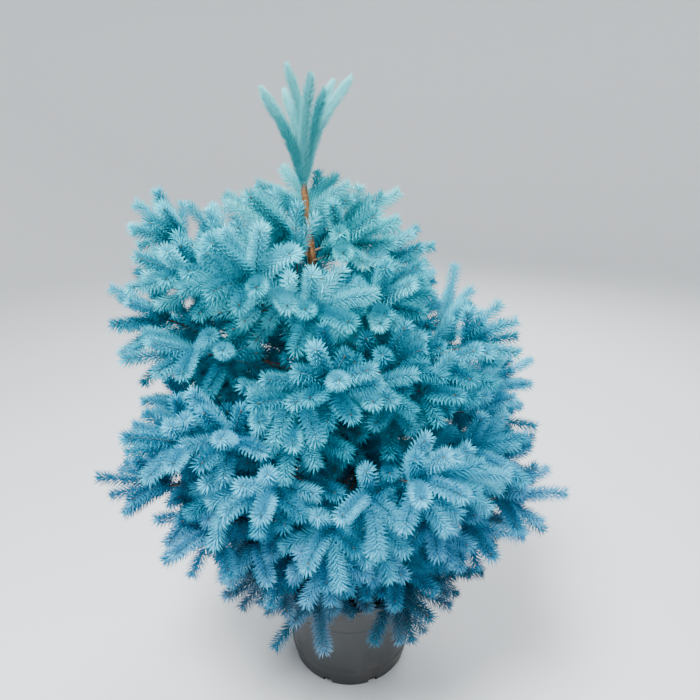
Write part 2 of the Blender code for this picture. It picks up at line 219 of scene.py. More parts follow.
def turned_mesh(name, profile, steps):
    """A mesh spun about Z from a profile of (radius, height) points."""
    shape = bmesh.new()
    corners = [shape.verts.new((radius, 0, height)) for radius, height in profile]
    edges = [shape.edges.new(pair) for pair in zip(corners[:-1], corners[1:])]
    bmesh.ops.spin(
        shape, geom=corners + edges, cent=(0, 0, 0), axis=(0, 0, 1),
        angle=2 * math.pi, steps=steps, use_merge=True,
    )
    bmesh.ops.remove_doubles(shape, verts=shape.verts, dist=0.00001)
    bmesh.ops.recalc_face_normals(shape, faces=shape.faces)
    return mesh_of(name, shape)


def rounded(corner, before, after, radius, steps=4):
    """The arc that rounds one corner of a profile."""
    corner, before, after = (np.array(point, float) for point in (corner, before, after))
    start = corner + (before - corner) * radius / np.linalg.norm(before - corner)
    end = corner + (after - corner) * radius / np.linalg.norm(after - corner)
    shares = np.linspace(0, 1, steps + 1)
    return [tuple((1 - s) ** 2 * start + 2 * s * (1 - s) * corner + s * s * end) for s in shares]


def round_profile(points):
    """A profile from points of (radius, height, rounding)."""
    profile = [points[0][:2]]
    for before, corner, after in zip(points[:-2], points[1:-1], points[2:]):
        if corner[2]:
            profile += rounded(corner[:2], before[:2], after[:2], corner[2])
        else:
            profile.append(corner[:2])
    return profile + [points[-1][:2]]


def drain_cutter(number):
    """The round cutter of one drain hole, which lies across the foot of the wall."""
    hole = bmesh.new()
    bmesh.ops.create_cone(
        hole, cap_ends=True, segments=28, radius1=DRAIN_WIDTH / 2, radius2=DRAIN_WIDTH / 2,
        depth=8 * POT_WALL,
    )
    cutter = object_of("drain_hole", mesh_of("drain_hole", hole))
    turn = math.radians(360 / DRAIN_HOLES * (number + 0.5))
    cutter.rotation_euler = (math.pi / 2, 0, turn)
    cutter.location = (
        math.sin(turn) * POT_BASE_RADIUS, -math.cos(turn) * POT_BASE_RADIUS, DRAIN_HEIGHT / 2
    )
    return cutter


def make_pot():
    """The turned wall, floor and rim, with three raised beads round it and its drain holes."""
    rim_foot = POT_HEIGHT - RIM_HEIGHT
    slope = (POT_TOP_RADIUS - POT_BASE_RADIUS) / rim_foot
    inner_top, inner_foot = POT_TOP_RADIUS - POT_WALL, POT_BASE_RADIUS - POT_WALL
    outline = [
        (0, BASE_RECESS, 0),
        (POT_BASE_RADIUS - 0.018, BASE_RECESS, 0.002),
        (POT_BASE_RADIUS - 0.014, 0, 0.0015),
        (POT_BASE_RADIUS - 0.003, 0, 0.0025),
        (POT_BASE_RADIUS + 0.0005, 0.006, 0.002),
    ]
    for height in (0.040, rim_foot - 0.052, rim_foot - 0.012):
        radius = POT_BASE_RADIUS + slope * height
        outline += [
            (radius - 0.0002, height, 0.001),
            (radius + BEAD_DEPTH, height + 0.0025, 0.001),
            (radius + BEAD_DEPTH, height + BEAD_HEIGHT - 0.0025, 0.001),
            (radius + 0.0002, height + BEAD_HEIGHT, 0.001),
        ]
    outline += [
        (POT_TOP_RADIUS, rim_foot, 0.0015),
        (RIM_RADIUS - 0.0012, rim_foot + 0.001, 0.0018),
        (RIM_RADIUS - 0.0016, POT_HEIGHT - 0.009, 0.001),
        (RIM_RADIUS, POT_HEIGHT - 0.0065, 0.0015),
        (RIM_RADIUS, POT_HEIGHT, 0.003),
        (inner_top + 0.001, POT_HEIGHT, 0.003),
        (inner_top, POT_HEIGHT - 0.012, 0.002),
        (inner_foot, POT_FLOOR, 0.003),
        (0, POT_FLOOR, 0),
    ]
    body = object_of("pot_body", turned_mesh("pot", round_profile(outline), POT_STEPS))
    cutters = [drain_cutter(number) for number in range(DRAIN_HOLES)]
    for cutter in cutters:
        boolean = body.modifiers.new("drain_hole", "BOOLEAN")
        boolean.operation = "DIFFERENCE"
        boolean.object = cutter
    mesh = settled_mesh(body, *cutters)
    mesh.shade_smooth()
    mesh.set_sharp_from_angle(angle=math.radians(POT_SHARP_ANGLE))
    return mesh


finish_piece("container", make_pot(), pot_plastic(), "pot_plastic", "pot")


# The compost: moist composted bark, filled to an inch below the rim and heaped a little round
# the stem. Coarse chips of bark lie on it, dark where they are wet and tan where they broke.
COMPOST_LEVEL = 0.245
COMPOST_DISH = 0.004
COMPOST_HEAP = 0.006
HEAP_RADIUS = 0.05
COMPOST_RINGS = 70
COMPOST_STEPS = 180
CLEARANCE = 0.0003
CHIP_LENGTHS = (0.005, 0.021)
CHIP_BED_FOOT = 0.030
CHIP_BED_STEPS = 48


def grow_tree(name, *sockets):
    """A node tree with geometry in and out, and named inputs of (name, kind, value)."""
    tree = bpy.data.node_groups.new(name, "GeometryNodeTree")
    tree.interface.new_socket("Geometry", in_out="INPUT", socket_type="NodeSocketGeometry")
    tree.interface.new_socket("Geometry", in_out="OUTPUT", socket_type="NodeSocketGeometry")
    for socket_name, kind, value in sockets:
        socket = tree.interface.new_socket(
            socket_name, in_out="INPUT", socket_type=f"NodeSocket{kind}"
        )
        if value is not None:
            socket.default_value = value
    tree.interface.new_socket("Finish", in_out="INPUT", socket_type="NodeSocketMaterial")
    return tree, tree.nodes.new("NodeGroupInput").outputs


def close_tree(tree, geometry, given):
    """Makes every copy real, gives all of it the finish, and sends it out of the tree."""
    real = wire(tree, "GeometryNodeRealizeInstances", {"Geometry": geometry})
    finish = wire(
        tree, "GeometryNodeSetMaterial",
        {"Geometry": real.outputs["Geometry"], "Material": given["Finish"]},
    )
    wire(tree, "NodeGroupOutput", {"Geometry": finish.outputs["Geometry"]})


def run_tree(tree, mesh, material, **values):
    """The mesh that a node tree makes of another mesh. A value's name is its input's name."""
    source = object_of("source", mesh)
    modifier = source.modifiers.new("tree", "NODES")
    modifier.node_group = tree
    given = {name.replace("_", " "): value for name, value in values.items()}
    given["Finish"] = material
    for socket in tree.interface.items_tree:
        if socket.in_out == "INPUT" and socket.name in given:
            modifier[socket.identifier] = given[socket.name]
    return settled_mesh(source)


def math_in(tree, operation, first, second=0.0):
    return wire(tree, "ShaderNodeMath", {0: first, 1: second}, operation=operation).outputs[0]


def vector_in(tree, operation, first, second=(0.0, 0.0, 0.0)):
    key = "Scale" if operation == "SCALE" else 1
    node = wire(tree, "ShaderNodeVectorMath", {0: first, key: second}, operation=operation)
    return node.outputs["Value" if operation == "LENGTH" else "Vector"]


def chance_in(tree, low, high, seed):
    """A random number for each point."""
    inputs = {2: low, 3: high, "Seed": seed}
    return wire(tree, "FunctionNodeRandomValue", inputs, data_type="FLOAT").outputs[1]


def set_copies(tree, given, model, points, **settings):
    """Sets a copy of an object on each point, and sends the copies out of the tree."""
    copy = wire(tree, "GeometryNodeObjectInfo", {"Object": model}).outputs["Geometry"]
    inputs = {"Points": points, "Instance": copy, **settings}
    copies = wire(tree, "GeometryNodeInstanceOnPoints", inputs).outputs["Instances"]
    close_tree(tree, copies, given)


def crumb_tree():
    """Pushes a level surface up and down into crumbs, but not its underside or its edge."""
    tree, given = grow_tree(
        "crumbs", ("Crumb Size", "Float", 0.006), ("Height", "Float", 0.004),
        ("Edge", "Float", 0.16), ("Lowest", "Float", 0.2),
    )
    where = wire(tree, "GeometryNodeInputPosition").outputs["Position"]
    scale = math_in(tree, "DIVIDE", 1.0, given["Crumb Size"])
    lumps = wire(tree, "ShaderNodeTexNoise", {"Vector": where, "Scale": scale, "Detail": 5.0})
    cells = wire(tree, "ShaderNodeTexVoronoi", {"Vector": where, "Scale": scale})
    rise = math_in(tree, "SUBTRACT", lumps.outputs["Fac"], 0.55)
    rise = math_in(tree, "SUBTRACT", rise, math_in(tree, "MULTIPLY", cells.outputs["Distance"], 0.5))
    parts = wire(tree, "ShaderNodeSeparateXYZ", {"Vector": where}).outputs
    flat = wire(tree, "ShaderNodeCombineXYZ", {"X": parts["X"], "Y": parts["Y"]}).outputs["Vector"]
    inside = math_in(tree, "LESS_THAN", vector_in(tree, "LENGTH", flat), given["Edge"])
    above = math_in(tree, "GREATER_THAN", parts["Z"], given["Lowest"])
    rise = math_in(tree, "MULTIPLY", rise, math_in(tree, "MULTIPLY", inside, above))
    lift = wire(tree, "ShaderNodeCombineXYZ", {"Z": math_in(tree, "MULTIPLY", rise, given["Height"])})
    moved = wire(
        tree, "GeometryNodeSetPosition",
        {"Geometry": given["Geometry"], "Offset": lift.outputs["Vector"]},
    )
    close_tree(tree, moved.outputs["Geometry"], given)
    return tree


def mottled(name, dark, light, grain, roughness=0.9):
    """A rough material mottled between two colours at a grain size in metres."""
    material = plain_material(name, dark, roughness, 0.3)
    tree = material.node_tree
    shader = tree.nodes["Principled BSDF"]
    spots = noise_in(tree, place_in(tree, (1, 1, 1)), 1 / grain, 6, 0.6)
    colour = ramp_in(tree, spots, ((0.36, dark), (0.66, light)))
    tree.links.new(colour, shader.inputs["Base Color"])
    fine = noise_in(tree, place_in(tree, (1, 1, 1)), 4 / grain)
    bump_in(tree, shader, fine, 0.5, 0.0008)
    return material


def heap_at(radius):
    """How much higher the compost lies round the stem."""
    return COMPOST_HEAP * math.exp(-((radius / HEAP_RADIUS) ** 2))


def compost_mesh():
    """The filling, with a finely divided top that is heaped round the stem."""
    foot = POT_FLOOR + CLEARANCE
    foot_radius = POT_BASE_RADIUS - POT_WALL - 2 * CLEARANCE
    top_radius = POT_TOP_RADIUS - POT_WALL - 2 * CLEARANCE
    share = (COMPOST_LEVEL - COMPOST_DISH - foot) / (POT_HEIGHT - foot)
    wall_radius = foot_radius + (top_radius - foot_radius) * share - 0.001
    profile = [(0, foot), (foot_radius, foot)]
    for step in range(COMPOST_RINGS + 1):
        radius = wall_radius * (1 - step / COMPOST_RINGS)
        dish = COMPOST_DISH * (radius / wall_radius) ** 3
        profile.append((radius, COMPOST_LEVEL - CLEARANCE - dish + heap_at(radius)))
    return turned_mesh("compost", profile, COMPOST_STEPS)


compost_mix = mottled("compost_mix", (0.018, 0.011, 0.008), (0.075, 0.045, 0.028), 0.009)
compost = run_tree(
    crumb_tree(), compost_mesh(), compost_mix,
    Crumb_Size=0.0075, Height=0.009, Edge=POT_BASE_RADIUS + 0.020, Lowest=COMPOST_LEVEL - 0.008,
)
compost.shade_smooth()
finish_piece("compost_fill", compost, compost_mix, "bark_compost", "compost")


def chip_shape():
    """One flake of bark about a unit long: a thin uneven slab with six sides."""
    shape = bmesh.new()
    around = ((0.50, 0.02), (0.24, 0.26), (-0.22, 0.30), (-0.5, 0.06), (-0.30, -0.24), (0.28, -0.22))
    low = [shape.verts.new((0.94 * x, 0.94 * y, -0.09)) for x, y in around]
    high = [shape.verts.new((x, y, 0.06 + 0.05 * math.sin(5 * x))) for x, y in around]
    shape.faces.new(reversed(low))
    shape.faces.new(high)
    for side in range(6):
        following = (side + 1) % 6
        shape.faces.new((low[side], low[following], high[following], high[side]))
    return object_of("chip", mesh_of("chip", shape))


def chip_tree():
    """Chips strewn over a surface, turned every way and lying nearly flat."""
    tree, given = grow_tree(
        "chips", ("Chip", "Object", None), ("Density", "Float", 6000.0), ("Smallest", "Float", 0.006),
        ("Largest", "Float", 0.02), ("Seed", "Int", 1),
    )
    spots = wire(
        tree, "GeometryNodeDistributePointsOnFaces",
        {"Mesh": given["Geometry"], "Density": given["Density"], "Seed": given["Seed"]},
    )
    tilt = wire(
        tree, "FunctionNodeRandomValue",
        {0: (-0.35, -0.35, 0.0), 1: (0.35, 0.35, 6.2832), "Seed": given["Seed"]},
        data_type="FLOAT_VECTOR",
    )
    turn = wire(tree, "FunctionNodeEulerToRotation", {"Euler": tilt.outputs["Value"]})
    shares = wire(
        tree, "FunctionNodeRandomValue",
        {0: (0.7, 0.6, 0.7), 1: (1.1, 1.3, 1.6), "Seed": math_in(tree, "ADD", given["Seed"], 3.0)},
        data_type="FLOAT_VECTOR",
    )
    chance = chance_in(tree, 0.0, 1.0, math_in(tree, "ADD", given["Seed"], 7.0))
    mostly_small = math_in(tree, "POWER", chance, 2.0)
    size = range_in(tree, mostly_small, (0.0, 1.0), (given["Smallest"], given["Largest"]))
    scale = vector_in(tree, "SCALE", shares.outputs["Value"], size)
    set_copies(
        tree, given, given["Chip"], spots.outputs["Points"],
        Rotation=turn.outputs["Rotation"], Scale=scale,
    )
    return tree


def chip_bed():
    """The ring of the compost's top that chips lie on, between the stem and the wall."""
    shape = bmesh.new()
    edge = POT_BASE_RADIUS + 0.012
    rings = []
    for radius in (CHIP_BED_FOOT, edge):
        height = COMPOST_LEVEL + heap_at(radius) - COMPOST_DISH * (radius / edge) ** 3 - 0.002
        angles = [2 * math.pi * step / CHIP_BED_STEPS for step in range(CHIP_BED_STEPS)]
        rings.append(
            [shape.verts.new((radius * math.cos(a), radius * math.sin(a), height)) for a in angles]
        )
    for step in range(CHIP_BED_STEPS):
        following = (step + 1) % CHIP_BED_STEPS
        shape.faces.new((rings[0][step], rings[1][step], rings[1][following], rings[0][following]))
    return mesh_of("chip_bed", shape)


chip = chip_shape()
strewn = chip_tree()
for name, dark, light, density, seed in (
    ("wet_chips", (0.022, 0.013, 0.009), (0.07, 0.04, 0.025), 9000.0, 1),
    ("brown_chips", (0.06, 0.032, 0.018), (0.16, 0.09, 0.05), 7000.0, 2),
    ("tan_chips", (0.16, 0.09, 0.05), (0.33, 0.20, 0.12), 2200.0, 3),
):
    finish = mottled(name, dark, light, 0.004)
    chips = run_tree(
        strewn, chip_bed(), finish, Chip=chip, Density=density, Smallest=CHIP_LENGTHS[0],
        Largest=CHIP_LENGTHS[1], Seed=seed,
    )
    finish_piece(name, chips, finish, "bark_compost", "compost")
bpy.data.objects.remove(chip)


# The trunk: one stem that leans and tapers from a flared foot to the leader's foot. Its bark is
# grey-brown and flaky below, and orange-brown and ribbed with needle pegs on the newest stretch.
FORK_HEIGHT = 0.887
TRUNK_LEAN = 5.9
TRUNK_SWAY = 0.004
TRUNK_FOOT_RADIUS = 0.0180
TRUNK_TIP_RADIUS = 0.0060
ROOT_FLARE = 0.012
ROOT_FLARE_HEIGHT = 0.028
ROOT_LOBES = 5
CRACK_SHARE = 0.22
YOUNG_WOOD = 0.70
YOUNG_BARK = COMPOST_LEVEL + YOUNG_WOOD
PEGS_APART = 0.0024
UP = np.array((0.0, 0.0, 1.0))


def trunk_point(height):
    """The middle of the trunk at a height above the compost."""
    across = -math.tan(math.radians(TRUNK_LEAN)) * height + TRUNK_SWAY * math.sin(9 * height)
    return np.array((across, TRUNK_SWAY * math.sin(7 * height), COMPOST_LEVEL + height))


def trunk_radius(height):
    share = height / FORK_HEIGHT
    return TRUNK_FOOT_RADIUS * (1 - share) + TRUNK_TIP_RADIUS * share


def tube_mesh(name, rings):
    """A closed tube from rings of points, each ring with the same number of points."""
    sides = len(rings[0])
    points = [tuple(point) for ring in rings for point in ring]
    faces = []
    for first in range(0, (len(rings) - 1) * sides, sides):
        for side in range(sides):
            a, b = first + side, first + (side + 1) % sides
            faces.append((a, b, b + sides, a + sides))
    faces.append(tuple(range(sides - 1, -1, -1)))
    last = (len(rings) - 1) * sides
    faces.append(tuple(range(last, last + sides)))
    mesh = bpy.data.meshes.new(name)
    mesh.from_pydata(points, [], faces)
    return mesh


def bark_tree():
    """Lifts a surface into upright plates with cracks between them, and roughens the plates."""
    tree, given = grow_tree(
        "bark_relief",
        ("Plate Width", "Float", 0.008), ("Plate Height", "Float", 0.02),
        ("Crack Depth", "Float", 0.0008), ("Roughness", "Float", 0.0003),
    )
    where = wire(tree, "GeometryNodeInputPosition").outputs["Position"]
    across = math_in(tree, "DIVIDE", 1.0, given["Plate Width"])
    upward = math_in(tree, "DIVIDE", 1.0, given["Plate Height"])
    scale = wire(tree, "ShaderNodeCombineXYZ", {"X": across, "Y": across, "Z": upward})
    placed = vector_in(tree, "MULTIPLY", where, scale.outputs["Vector"])
    bent = wire(tree, "ShaderNodeTexNoise", {"Vector": placed, "Scale": 0.8, "Detail": 2.0})
    placed = vector_in(tree, "ADD", placed, bent.outputs["Color"])
    plates = wire(
        tree, "ShaderNodeTexVoronoi", {"Vector": placed, "Scale": 1.0}, feature="DISTANCE_TO_EDGE"
    )
    lifted = range_in(
        tree, plates.outputs["Distance"], (0.0, CRACK_SHARE), (-1.0, 0.0),
        interpolation_type="SMOOTHSTEP",
    )
    depth = math_in(tree, "MULTIPLY", lifted, given["Crack Depth"])
    fine = wire(tree, "ShaderNodeTexNoise", {"Vector": placed, "Scale": 4.0, "Detail": 4.0})
    rough = math_in(tree, "SUBTRACT", fine.outputs["Fac"], 0.5)
    rough = math_in(tree, "MULTIPLY", rough, given["Roughness"])
    height = math_in(tree, "ADD", depth, rough)
    normal = wire(tree, "GeometryNodeInputNormal").outputs["Normal"]
    moved = wire(
        tree, "GeometryNodeSetPosition",
        {"Geometry": given["Geometry"], "Offset": vector_in(tree, "SCALE", normal, height)},
    )
    close_tree(tree, moved.outputs["Geometry"], given)
    return tree


def bark(name, old, crack, young=None):
    """Bark whose colour follows its plates, and which turns to young wood high on the trunk."""
    material = plain_material(name, old, 0.85, 0.3)
    tree = material.node_tree
    shader = tree.nodes["Principled BSDF"]
    where = place_in(tree, (1, 1, 0.45))
    plates = noise_in(tree, where, 210, 6, 0.62)
    worn = tuple(1.45 * part for part in old)
    colour = ramp_in(tree, plates, ((0.30, crack), (0.50, old), (0.72, worn)))
    if young:
        shaded = tuple(0.5 * part for part in young)
        fresh = ramp_in(tree, plates, ((0.30, shaded), (0.6, young)))
        share = range_in(tree, height_in(tree), (YOUNG_BARK - 0.05, YOUNG_BARK + 0.06))
        colour = mix_in(tree, share, colour, fresh)
    tree.links.new(colour, shader.inputs["Base Color"])
    bump_in(tree, shader, noise_in(tree, where, 520, 5), 0.6, 0.0006)
    return material


def trunk_rings(sides, count):
    """The trunk's skin, with its rings closest together at the foot."""
    rings = []
    for step in range(count):
        share = step / (count - 1)
        height = FORK_HEIGHT * (0.35 * share + 0.65 * share ** 1.8)
        flare = ROOT_FLARE * math.exp(-height / ROOT_FLARE_HEIGHT)
        ring = []
        for side in range(sides):
            angle = 2 * math.pi * side / sides
            lobed = 0.6 + 0.4 * math.cos(ROOT_LOBES * angle)
            radius = trunk_radius(height) + flare * lobed
            ring.append(trunk_point(height) + radius * np.array((math.cos(angle), math.sin(angle), 0)))
        rings.append(ring)
    return rings


def drawn_object(name, points, faces):
    """An object with the given points and faces."""
    mesh = bpy.data.meshes.new(name)
    mesh.from_pydata([tuple(point) for point in points], [], faces)
    return object_of(name, mesh)


def peg_shape():
    """One needle peg along +Z: the short woody foot that a fallen needle leaves."""
    points = [(-0.0007, -0.0009, -0.0006), (0.0007, -0.0009, -0.0006), (0, 0.0011, -0.0006)]
    points += [(-0.0004, -0.0004, 0.0014), (0.0004, -0.0004, 0.0014), (0, 0.0006, 0.0014)]
    sides = [(0, 1, 4, 3), (1, 2, 5, 4), (2, 0, 3, 5)]
    return drawn_object("peg", points, sides + [(3, 4, 5), (2, 1, 0)])


def aimed(tree, aim, across, across_axis="Y"):
    """The turn that points +Z along an aim."""
    turned = wire(
        tree, "FunctionNodeAxesToRotation", {"Primary Axis": aim, "Secondary Axis": across},
        primary_axis="Z", secondary_axis=across_axis,
    )
    return turned.outputs["Rotation"]


def peg_tree():
    """Pegs all over a surface, which lean upwards."""
    tree, given = grow_tree(
        "pegs", ("Peg", "Object", None), ("Apart", "Float", 0.0025), ("Lean", "Float", 0.9),
        ("Seed", "Int", 1),
    )
    spots = wire(
        tree, "GeometryNodeDistributePointsOnFaces",
        {"Mesh": given["Geometry"], "Distance Min": given["Apart"], "Density Max": 200000.0,
         "Seed": given["Seed"]},
        distribute_method="POISSON",
    )
    lean = wire(tree, "ShaderNodeCombineXYZ", {"Z": given["Lean"]}).outputs["Vector"]
    aim = vector_in(tree, "ADD", spots.outputs["Normal"], lean)
    turned = aimed(tree, aim, (0.0, 0.0, 1.0))
    set_copies(tree, given, given["Peg"], spots.outputs["Points"], Rotation=turned)
    return tree


relief = bark_tree()
trunk_bark = bark("trunk_bark", (0.125, 0.092, 0.072), (0.035, 0.026, 0.022), (0.34, 0.155, 0.06))
trunk_skin = run_tree(
    relief, tube_mesh("trunk", trunk_rings(sides=72, count=420)), trunk_bark,
    Plate_Width=0.007, Plate_Height=0.016, Crack_Depth=0.0009, Roughness=0.0006,
)
trunk_skin.shade_smooth()
finish_piece("trunk_bark", trunk_skin, trunk_bark, "bark", "trunk")

young_wood = mottled("needle_pegs", (0.24, 0.11, 0.045), (0.42, 0.21, 0.09), 0.004, 0.8)
young_rings = [ring for ring in trunk_rings(sides=24, count=240) if ring[0][2] > YOUNG_BARK]
young_stem = tube_mesh("young_stem", young_rings)
peg = peg_shape()
pegs = run_tree(peg_tree(), young_stem, young_wood, Peg=peg, Apart=PEGS_APART, Seed=4)
finish_piece("needle_pegs", pegs, young_wood, "bark", "trunk")
bpy.data.objects.remove(peg)


# The boughs: rings of five limbs that leave the trunk through a swollen collar, rise towards
# their tips and carry the foliage. Their bark is thinner than the trunk's, tan and finely split.
# Each ring: height, turn of its first limb, reach to the right, left and front, rise, tip's rise.
RINGS = (
    (0.085, 30, 0.46, 0.48, 0.30, 7, 24),
    (0.205, -6, 0.52, 0.51, 0.38, 9, 26),
    (0.335, 32, 0.50, 0.52, 0.43, 12, 28),
    (0.480, -4, 0.40, 0.45, 0.42, 16, 34),
    (0.625, 44, 0.29, 0.43, 0.32, 24, 40),
    (0.768, 36, 0.20, 0.22, 0.20, 18, 46),
)
BOUGHS_IN_RING = 5
RING_STAGGER = 0.009
BARE_SHARE = 0.27
BARE_AT_TOP = 0.072
BOUGH_THINNEST = 0.0036
BOUGH_THICKENING = 0.006
TOP_BOUGH_RADIUS = 0.62 * BOUGH_THINNEST
SEED = "blue spruce"


def draw(place, what, low, high):
    """A random number that depends only on where on the plant it is used, and what for."""
    return random.Random(f"{SEED} {place} {what}").uniform(low, high)


def unit(vector):
    return vector / np.linalg.norm(vector)


def heading(turn, rise):
    """The direction that is turned from the front towards +X and rises above level."""
    turn, rise = math.radians(turn), math.radians(rise)
    level = math.cos(rise)
    return np.array((math.sin(turn) * level, -math.cos(turn) * level, math.sin(rise)))


def square_to(direction):
    side = unit(np.cross(direction, UP))
    return side, np.cross(direction, side)


class Bough:
    """A first branch from the trunk, which rises more steeply towards its tip."""

    def __init__(self, ring, place):
        height, first_turn, right, left, front, rise, tip_rise = RINGS[ring]
        self.name = f"{ring + 1}_{place + 1}"
        stagger = ((2 * place) % BOUGHS_IN_RING - 2) * RING_STAGGER
        self.height = height + stagger
        self.turn = first_turn + 360 / BOUGHS_IN_RING * place + draw(self.name, "turn", -9, 9)
        across = math.sin(math.radians(self.turn))
        side = right if across > 0 else left
        length = front + (side - front) * abs(across)
        self.length = length * draw(self.name, "length", 0.94, 1.06)
        self.rise = rise + draw(self.name, "rise", -4, 4)
        self.tip_rise = tip_rise + draw(self.name, "tip", -5, 5)
        self.sway = draw(self.name, "sway", -14, 14)
        self.on_trunk = ring == len(RINGS) - 1
        self.bare = BARE_AT_TOP if self.on_trunk else BARE_SHARE * self.length

    def direction(self, share):
        turn = self.turn + self.sway * (share - 0.3)
        return heading(turn, self.rise + (self.tip_rise - self.rise) * share)

    def point(self, distance, steps=24):
        point = trunk_point(self.height)
        for step in range(steps):
            share = (step + 0.5) / steps * distance / self.length
            point = point + self.direction(share) * distance / steps
        return point, self.direction(distance / self.length)

    def radius(self, distance):
        share = distance / self.length
        return BOUGH_THINNEST + BOUGH_THICKENING * self.length * (1 - share)


def bough_rings(bough, sides=18, count=34):
    """The skin of a bough's bare part, from inside the trunk through its collar to its end."""
    surface = trunk_radius(bough.height)
    rings = []
    for step in range(count):
        distance = 0.5 * surface + (bough.bare - 0.5 * surface) * step / (count - 1)
        centre, direction = bough.point(distance)
        collar = 1 + 0.45 * math.exp(-max(0, distance - surface) / 0.006)
        first, second = square_to(direction)
        radius = collar * (TOP_BOUGH_RADIUS if bough.on_trunk else bough.radius(distance))
        angles = [2 * math.pi * side / sides for side in range(sides)]
        rings.append([centre + radius * (math.cos(a) * first + math.sin(a) * second) for a in angles])
    return rings


def joined(meshes):
    """One mesh from several."""
    shape = bmesh.new()
    for mesh in meshes:
        shape.from_mesh(mesh)
    return mesh_of("whole", shape)


boughs = [Bough(ring, place) for ring in range(len(RINGS)) for place in range(BOUGHS_IN_RING)]
limb_bark = bark("bough_bark", (0.20, 0.125, 0.08), (0.06, 0.04, 0.03))
bare_limbs = joined([tube_mesh(bough.name, bough_rings(bough)) for bough in boughs])
bough_skin = run_tree(
    relief, bare_limbs, limb_bark,
    Plate_Width=0.004, Plate_Height=0.004, Crack_Depth=0.0004, Roughness=0.0006,
)
bough_skin.shade_smooth()
finish_piece(
    "boughs_bark", bough_skin, limb_bark, "bark",
    *(f"bough_{bough.name}" for bough in boughs if not bough.on_trunk),
)


# The twigs: every bough goes on as one yearly shoot after another, with a ring of side twigs at
# each bud ring, and those branch in the same way, down to short sprigs that fill the crown. The
# newest wood is hidden in needles and coloured the dark teal of the shaded needle bases round it,
# as painted shade; the older wood is a scaly grey-brown.
YEAR_GROWTH = 0.115
SIDE_ANGLE = 48
SIDE_VIGOUR = 0.87
RING_OFFSET = 0.015
UPRIGHT_START = 0.038
UPRIGHT_LENGTH = 0.10
LEADER_LENGTH = 0.20
LEADER_SHOOTS = 6
INNER_SHOOTS = 4
TOP_SHOOTS = 8
OPEN_FRONT = 0.034
LOWEST_FOLIAGE = 0.05
LIMB_ROOM = 0.010
MASS_ROOM = 0.022
OWN_ROOM = 0.0205
FINEST_ORDER = 3
LEADER_RING = len(RINGS) + 1
SPRIG_LENGTH = 0.090
FORWARD_SHOOTS = 4
SPRIGS_ON_SHOOT = 4
SPRIGS_ON_BOUGH = 6
SPRIGS_ON_TRUNK = 13
SPRIG_STRETCH = (0.35, 0.95)
TOP_STRETCH = (0.26, 0.88)
TWIG_RADIUS = 0.0010
TWIG_THICKENING = 0.0006
SHOOT_STEPS = 4


class Shoot:
    """One year's growth of one twig, from start to end."""

    def __init__(self, mass, twig, order, start, end, parent, years):
        self.mass = mass
        self.ring = LEADER_RING if mass == "leader" else int(mass[0])
        self.twig = twig
        self.order = order
        self.start = start
        self.end = end
        self.parent = parent
        self.years = years
        self.kept = parent is None and start is None

    def line(self, beyond=0.0):
        """Points along the shoot, which arches a little, and goes on straight past its end."""
        along = self.end - self.start
        first, second = square_to(unit(along))
        rise = draw(self.twig, f"arch {self.years}", 0.01, 0.07) * np.linalg.norm(along)
        drift = draw(self.twig, f"drift {self.years}", -0.03, 0.03) * np.linalg.norm(along)
        points = []
        for step in range(SHOOT_STEPS + 1):
            share = step / SHOOT_STEPS
            bend = 4 * share * (1 - share)
            points.append(self.start + share * along - bend * rise * second + bend * drift * first)
        points[-1] = points[-1] + beyond * unit(along)
        return points


def grow_twig(shoots, twig, parent, start, direction, years, length):
    """A side twig, one shoot for each of its years, with finer twigs at its bud rings."""
    order = parent.order + 1
    for year in range(years):
        end = start + direction * length * draw(twig, f"year {year}", 0.88, 1.1)
        parent = Shoot(parent.mass, twig, order, start, end, parent, years - year)
        shoots.append(parent)
        left = years - 1 - year
        if left and order < FINEST_ORDER:
            grow_side_twigs(
                shoots, f"{twig} {year}", parent, end, direction, left, length * SIDE_VIGOUR
            )
        start = end
        lift = math.radians(draw(twig, f"lift {year}", 2, 9))
        direction = unit(direction * math.cos(lift) + UP * math.sin(lift))


def grow_side_twigs(shoots, place, parent, start, direction, years, length):
    """The side twigs at one bud ring: two that spread to the sides, then one above, one below."""
    side = unit(np.cross(direction, UP))
    above = unit(np.cross(side, direction))
    roll = draw(place, "roll", -25, 25)
    for number, turn in enumerate((0, 180, 90, 270)):
        twig = f"{place}/{number}"
        turn = math.radians(roll + turn + draw(twig, "turn", -12, 12))
        outward = side * math.cos(turn) + above * math.sin(turn)
        angle = math.radians(SIDE_ANGLE + draw(twig, "angle", -8, 8))
        leaving = unit(direction * math.cos(angle) + outward * math.sin(angle))
        if number < 2:
            grow_twig(shoots, twig, parent, start, leaving, years, length)
        else:
            grow_twig(shoots, twig, parent, start, leaving, max(1, years - 1), 0.8 * length)
    for number in range(FORWARD_SHOOTS):
        twig = f"{place}/forward {number}"
        turn = math.radians(roll + 360 * (number + 0.5) / FORWARD_SHOOTS + draw(twig, "turn", -15, 15))
        outward = side * math.cos(turn) + above * math.sin(turn)
        angle = math.radians(draw(twig, "angle", 26, 40))
        leaving = unit(direction * math.cos(angle) + outward * math.sin(angle))
        sprig = SPRIG_LENGTH * draw(twig, "length", 0.85, 1.15)
        grow_twig(shoots, twig, parent, start, leaving, 1, sprig)


